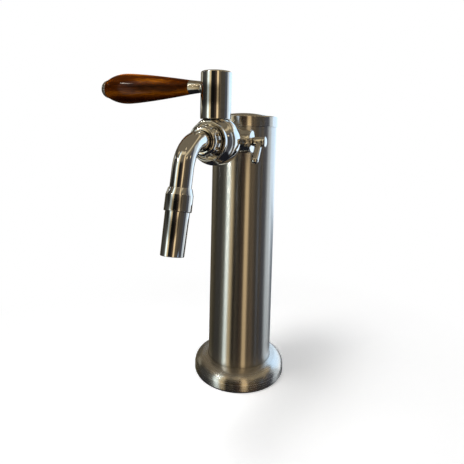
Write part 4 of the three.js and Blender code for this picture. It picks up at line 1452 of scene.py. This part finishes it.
@dataclass(frozen=True)
class Nozzle:
    """The collar at the spout's end and the nozzle screwed into it."""

    mouth: Place = (0.0, -168.27, 188.20)
    mouth_radius: float = 10.1
    top_radius: float = 10.6
    length: float = 37.0
    bore: float = 8.2
    neck: float = 9.5
    neck_top: float = 44.0
    recess: float = 8.9
    recess_foot: float = 42.5
    collar: float = 11.9
    collar_edge: float = 0.8
    collar_taper: float = 51.0
    collar_round: float = 2.0
    collar_top: float = 57.0
    collar_tip: float = 10.3
    collar_bore: float = 9.8

    def build(self, wardrobe: Wardrobe) -> None:
        """Makes the collar and the nozzle.

        Args:
            wardrobe: Dresses the pieces.
        """
        collar = outline(
            (self.collar_bore, self.length), (self.collar, self.length, self.collar_edge),
            (self.collar, self.collar_taper, self.collar_round), (self.collar_tip, self.collar_top, 0.2),
            (self.collar_bore, self.collar_top))
        nozzle = outline(
            (self.bore, 0, 0.4), (self.mouth_radius, 0, 0.5), (self.top_radius, self.length, 0.3),
            (self.neck, self.length), (self.neck, self.neck_top), (self.recess, self.neck_top),
            (self.recess, self.recess_foot), (self.bore, self.recess_foot))
        for points, node in ((collar, "nozzle_collar"), (nozzle, "nozzle")):
            wardrobe.dress(Workpiece.turned(points).placed(Facing.NOZZLE, self.mouth), node)


def only_reflected(shape: bpy.types.Object, colour: Any, sheet: NodeSheet) -> None:
    """Makes a shape of the surroundings shine in a colour that only reflections see.

    Args:
        shape: The wall or pane.
        colour: Its colour, plain or from its own nodes.
        sheet: The nodes of its material.
    """
    material = sheet.ended(sheet.glow(colour))
    material.cycles.emission_sampling = "NONE"
    shape.data.materials.append(material)
    for kind in ("camera", "diffuse", "transmission", "volume_scatter", "shadow"):
        setattr(shape, f"visible_{kind}", False)


@dataclass(frozen=True)
class Pane:
    """A pale window not far behind the tower, deeper in colour towards its top."""

    centre: Place = (0.20, 0.62, 0.335)
    wide: float = 0.80
    tall: float = 0.55
    pale: Colour = (1.15, 1.35, 1.55)
    deep: Colour = (0.85, 1.20, 1.60)

    def build(self) -> None:
        """Makes the pane, facing the tower."""
        Workpiece.clear()
        turn = math.atan2(self.centre[1], self.centre[0]) + math.pi / 2
        bpy.ops.mesh.primitive_plane_add(size=1, location=self.centre, rotation=(math.pi / 2, 0, turn))
        pane = bpy.context.object
        pane.name, pane.scale = "pane", (self.wide, self.tall, 1)
        sheet = NodeSheet(bpy.data.materials.new("pane_colours"))
        _, height, _ = sheet.split(sheet.place())  # from -0.5 to 0.5 on the plane
        only_reflected(pane, sheet.mixed(height + 0.5, self.pale, self.deep), sheet)


@dataclass(frozen=True)
class Band:
    """A stretch of the room's wall, from one bearing to another, up to the height where the ceiling starts."""

    start: float
    end: float
    colour: Colour
    top: float = 30.0


@dataclass(frozen=True)
class Patch:
    """A soft-edged patch on the wall or ceiling, with its half width and half height."""

    bearing: float
    height: float
    width: float
    tall: float
    colour: Colour


@dataclass(frozen=True)
class Room:
    """A dim room with windows, which only reflections see. Its bearings and heights are in degrees."""

    radius: float = 2.4
    ceiling: Colour = (0.195, 0.162, 0.112)
    ground: Colour = (0.013, 0.014, 0.018)
    soft: float = 5.0
    front_floor: float = 40.0
    back_floor: float = 10.0
    behind: Point = (135.0, 155.0)  # the bearings between which the floor in front gives way to that behind
    rail: float = 7.0  # the height of a darker rail across the windows
    rail_half: float = 4.5
    rail_edge: float = 2.0
    rail_end: Point = (58.0, 42.0)
    rail_depth: float = 0.64
    clutter: Point = (0.35, 0.02)  # scales of uneven light along bearing and height
    clutter_least: float = 0.6
    clutter_range: float = 0.8
    patch_edge: float = 1.5
    bands: tuple[Band, ...] = (
        Band(-180, -168, (0.40, 0.37, 0.32), 28.0),
        Band(-160, -114, (0.11, 0.095, 0.06), 12.0),
        Band(-106, -91, (0.05, 0.044, 0.028)),
        Band(-83, -58, (0.066, 0.066, 0.06)),
        Band(-52, -44, (0.17, 0.17, 0.145)),
        Band(-39, -29, (1.36, 1.54, 1.50), 50.0),
        Band(-25, -17, (0.86, 0.69, 0.40), 50.0),
        Band(-11, 12, (0.017, 0.016, 0.014)),
        Band(16, 26, (0.070, 0.048, 0.035)),
        Band(31, 39, (1.08, 0.81, 0.46), 46.0),
        Band(44, 54, (0.13, 0.10, 0.065)),
        Band(64, 88, (0.075, 0.066, 0.054)),
        Band(96, 111, (0.085, 0.09, 0.108)),
        Band(120, 131, (0.66, 0.74, 0.80), 28.0),
        Band(143, 165, (1.40, 1.46, 1.50), 28.0),
        Band(173, 180, (0.80, 0.76, 0.68), 28.0),
    )
    patches: tuple[Patch, ...] = (
        Patch(-105, 8, 11, 6, (0.50, 0.47, 0.37)),
        Patch(160, -34, 16, 5, (0.04, 0.08, 0.19)),
        Patch(4, 52, 30, 4, (0.80, 0.66, 0.42)),
        Patch(100, 45, 62, 4, (0.66, 0.54, 0.34)),
        Patch(58, 33, 2.5, 2.5, (1.9, 1.45, 0.8)),
        Patch(92, 22, 3, 2, (1.5, 1.2, 0.75)),
        Patch(-62, 40, 3, 2.5, (1.8, 1.45, 0.9)),
        Patch(22, 64, 4, 3, (1.8, 1.5, 1.0)),
        Patch(78, -16, 4, 3, (0.45, 0.60, 0.85)),
        Patch(60, -30, 6, 3, (0.36, 0.24, 0.15)),
        Patch(4, -26, 5, 3, (0.42, 0.34, 0.22)),
    )

    def _walls(self, sheet: NodeSheet, bearing: Wire, height: Wire) -> tuple[Wire, Wire]:
        """Lays the bands on a ramp over the whole turn, with their tops as its alpha, and adds clutter and a rail.

        Args:
            sheet: The room's nodes.
            bearing: The bearing.
            height: The height over the horizon.

        Returns:
            The walls' colour and the height where the ceiling starts.
        """
        stops = [((edge + 180) / 360, (*band.colour, band.top / 90))
                 for band in self.bands for edge in (band.start, band.end)]
        wall = sheet.add("ShaderNodeValToRGB", {"stops": stops}, {0: bearing * (1 / 360) + 0.5})
        top = Wire(sheet, wall.socket.node.outputs["Alpha"]) * 90
        clutter = sheet.noise(
            sheet.joined(bearing * self.clutter[0], height * self.clutter[1], 0.0), detail=4, roughness=0.6)
        rail = sheet.math("ABSOLUTE", height - self.rail)
        rail = rail.eased(self.rail_half + self.rail_edge, self.rail_half - self.rail_edge)
        rail = rail * bearing.eased(*self.rail_end) * self.rail_depth
        light = (clutter.eased(0.25, 0.75) * self.clutter_range + self.clutter_least) * (1 - rail)
        return sheet.scaled(wall, light), top

    def _patched(self, sheet: NodeSheet, colour: Wire, patch: Patch, bearing: Wire, height: Wire) -> Wire:
        """Lays a patch over the room's colour.

        Args:
            sheet: The room's nodes.
            colour: The colour so far.
            patch: The patch.
            bearing: The bearing.
            height: The height over the horizon.

        Returns:
            The colour with the patch on it.
        """
        share = 1.0
        for value, middle, half in ((bearing, patch.bearing, patch.width), (height, patch.height, patch.tall)):
            away = sheet.math("ABSOLUTE", value - middle)
            share = share * away.eased(half + self.patch_edge, half - self.patch_edge)
        return sheet.mixed(share, colour, patch.colour)

    def build(self) -> None:
        """Makes the shell and its colours."""
        Workpiece.clear()
        bpy.ops.mesh.primitive_uv_sphere_add(
            segments=64, ring_count=32, radius=self.radius, location=(0, 0, TAP_HEIGHT * MM))
        shell = bpy.context.object
        shell.name = "room"
        bpy.ops.object.shade_smooth()
        sheet = NodeSheet(bpy.data.materials.new("room_colours"))
        x, y, z = sheet.split(sheet.place())
        bearing = sheet.math("ARCTAN2", x, y * -1.0) * math.degrees(1)
        height = sheet.math("ARCTAN2", z, (x * x + y * y) ** 0.5) * math.degrees(1)
        wall, top = self._walls(sheet, bearing, height)
        whole = sheet.mixed((height - top).eased(-self.soft, self.soft), wall, self.ceiling)
        for patch in self.patches:
            whole = self._patched(sheet, whole, patch, bearing, height)
        behind = sheet.math("ABSOLUTE", bearing).eased(*self.behind)
        floor = height + self.front_floor - behind * (self.front_floor - self.back_floor)
        whole = sheet.mixed(floor.eased(self.soft, -self.soft), whole, self.ground)
        only_reflected(shell, whole, sheet)


@dataclass(frozen=True)
class Lamp:
    """One soft lamp. A hidden one lights the wood, plastic and floor but isn't reflected."""

    name: str
    at: Place
    wide: float
    tall: float
    power: float
    hidden: bool = True
    tint: Colour = WHITE
    aim: Place = (0.0, -0.05, 0.25)
    spread: float = 180.0

    def build(self) -> None:
        """Hangs the lamp."""
        Workpiece.clear()
        bpy.ops.object.light_add(type="AREA", location=self.at)
        lamp = bpy.context.object
        lamp.name = self.name
        lamp.rotation_euler = (Vector(self.aim) - Vector(self.at)).to_track_quat("-Z", "Y").to_euler()
        lamp.data.shape, lamp.data.size, lamp.data.size_y = "RECTANGLE", self.wide, self.tall
        lamp.data.energy, lamp.data.color, lamp.data.spread = self.power, self.tint, math.radians(self.spread)
        lamp.visible_glossy = not self.hidden


@dataclass(frozen=True)
class Studio:
    """The pale floor, the soft lamps and the white surroundings."""

    floor_radius: float = 3.0
    floor_colour: Colour = (0.86, 0.86, 0.86)
    lift: float = 0.47
    fade: Point = (0.10, 0.40)
    around: float = 0.12
    lamps: tuple[Lamp, ...] = (
        Lamp("key_lamp", (-0.40, -0.45, 1.60), 0.50, 0.50, 15.0),
        Lamp("fill_lamp", (1.05, -0.70, 0.85), 0.45, 0.45, 0.7),
        Lamp("ceiling_light", (-0.71, -0.93, 0.93), 0.22, 0.06, 0.050, hidden=False, tint=(1.0, 0.94, 0.82),
             aim=AIM, spread=24.0),
        Lamp("handle_lamp", (-0.22, -0.06, 1.30), 0.20, 0.20, 0.050, aim=AIM, spread=24.0),
        Lamp("window_bar", (-1.15, -0.20, 0.72), 0.04, 0.07, 0.0010, hidden=False, tint=(0.92, 0.95, 1.0),
             aim=AIM, spread=24.0),
    )

    def _floor(self) -> None:
        """Makes a round floor that keeps the shadow near the tower and fades to white further out."""
        Workpiece.clear()
        bpy.ops.mesh.primitive_circle_add(vertices=96, radius=self.floor_radius, fill_type="NGON")
        floor = bpy.context.object
        floor.name = "floor"
        sheet = NodeSheet(bpy.data.materials.new("floor_paint"))
        x, y, _ = sheet.split(sheet.place())
        seen = sheet.add("ShaderNodeLightPath", {}, {}, "Is Camera Ray")
        paint = sheet.add("ShaderNodeBsdfDiffuse", {}, {"Color": self.floor_colour})
        near = sheet.add("ShaderNodeAddShader", {}, {0: paint, 1: sheet.glow(WHITE, seen * self.lift)})
        far = ((x * x + y * y) ** 0.5).eased(*self.fade) * seen
        shader = sheet.add("ShaderNodeMixShader", {}, {0: far, 1: near, 2: sheet.glow(WHITE)})
        floor.data.materials.append(sheet.ended(shader))
        floor.visible_glossy = False

    def _surroundings(self) -> None:
        """Makes the world white for the eye and for reflections, and plainer for the light itself."""
        world = bpy.data.worlds.new("surroundings")
        bpy.context.scene.world = world
        sheet = NodeSheet(world)
        rays = sheet.add("ShaderNodeLightPath", {}, {}).socket.node.outputs
        seen = sum(Wire(sheet, rays[name]) for name in ("Is Camera Ray", "Is Glossy Ray", "Is Transmission Ray"))
        level = self.around + sheet.math("MINIMUM", seen, 1.0) * (1 - self.around)
        back = sheet.add("ShaderNodeBackground", {}, {"Color": WHITE, "Strength": level})
        sheet.add("ShaderNodeOutputWorld", {}, {"Surface": back})

    def build(self) -> None:
        """Sets up the floor, the surroundings, the room and the lamps."""
        self._floor()
        self._surroundings()
        Room().build()
        Pane().build()
        for lamp in self.lamps:
            lamp.build()
        bpy.context.scene.view_settings.view_transform = "Standard"


@dataclass(frozen=True)
class Viewpoint:
    """The camera, in front and to the right of the tap, a little under the column's top."""

    bearing: float = 20.0
    distance: float = 0.476372
    height: float = 0.289113
    down: float = 0.074
    aside: float = -0.030
    roll: float = 0.024
    lens: float = 30.472
    sensor: float = 36.0
    shift: float = -0.1444

    def build(self) -> None:
        """Sets up the camera at the photograph's viewing angle."""
        around = math.radians(self.bearing)
        place = (self.distance * math.sin(around), -self.distance * math.cos(around), self.height)
        Workpiece.clear()
        bpy.ops.object.camera_add(location=place)
        camera = bpy.context.object
        placed = Matrix.Translation(place)
        for angle, axis in ((around - self.aside, "Z"), (math.pi / 2 - self.down, "X"), (self.roll, "Z")):
            placed @= Matrix.Rotation(angle, 4, axis)
        camera.matrix_world = placed
        camera.data.lens, camera.data.sensor_width, camera.data.shift_y = self.lens, self.sensor, self.shift
        bpy.context.scene.camera = camera


def main() -> None:
    """Builds the sub-assemblies in order, then dresses what keeps its solid and sets the stage."""
    logging.basicConfig(level=logging.INFO, format="%(message)s")
    wardrobe = Wardrobe(frame)
    parts = (Foot(), Column(), Cap(), Rosette(), Compensator(), Lever(), Valve(), Head(), Handle(),
             SpannerRing(), Spout(), Nozzle())
    for part in parts:
        part.build(wardrobe)
    wardrobe.dress_rest()
    Studio().build()
    Viewpoint().build()


if __name__ == "__main__":
    main()
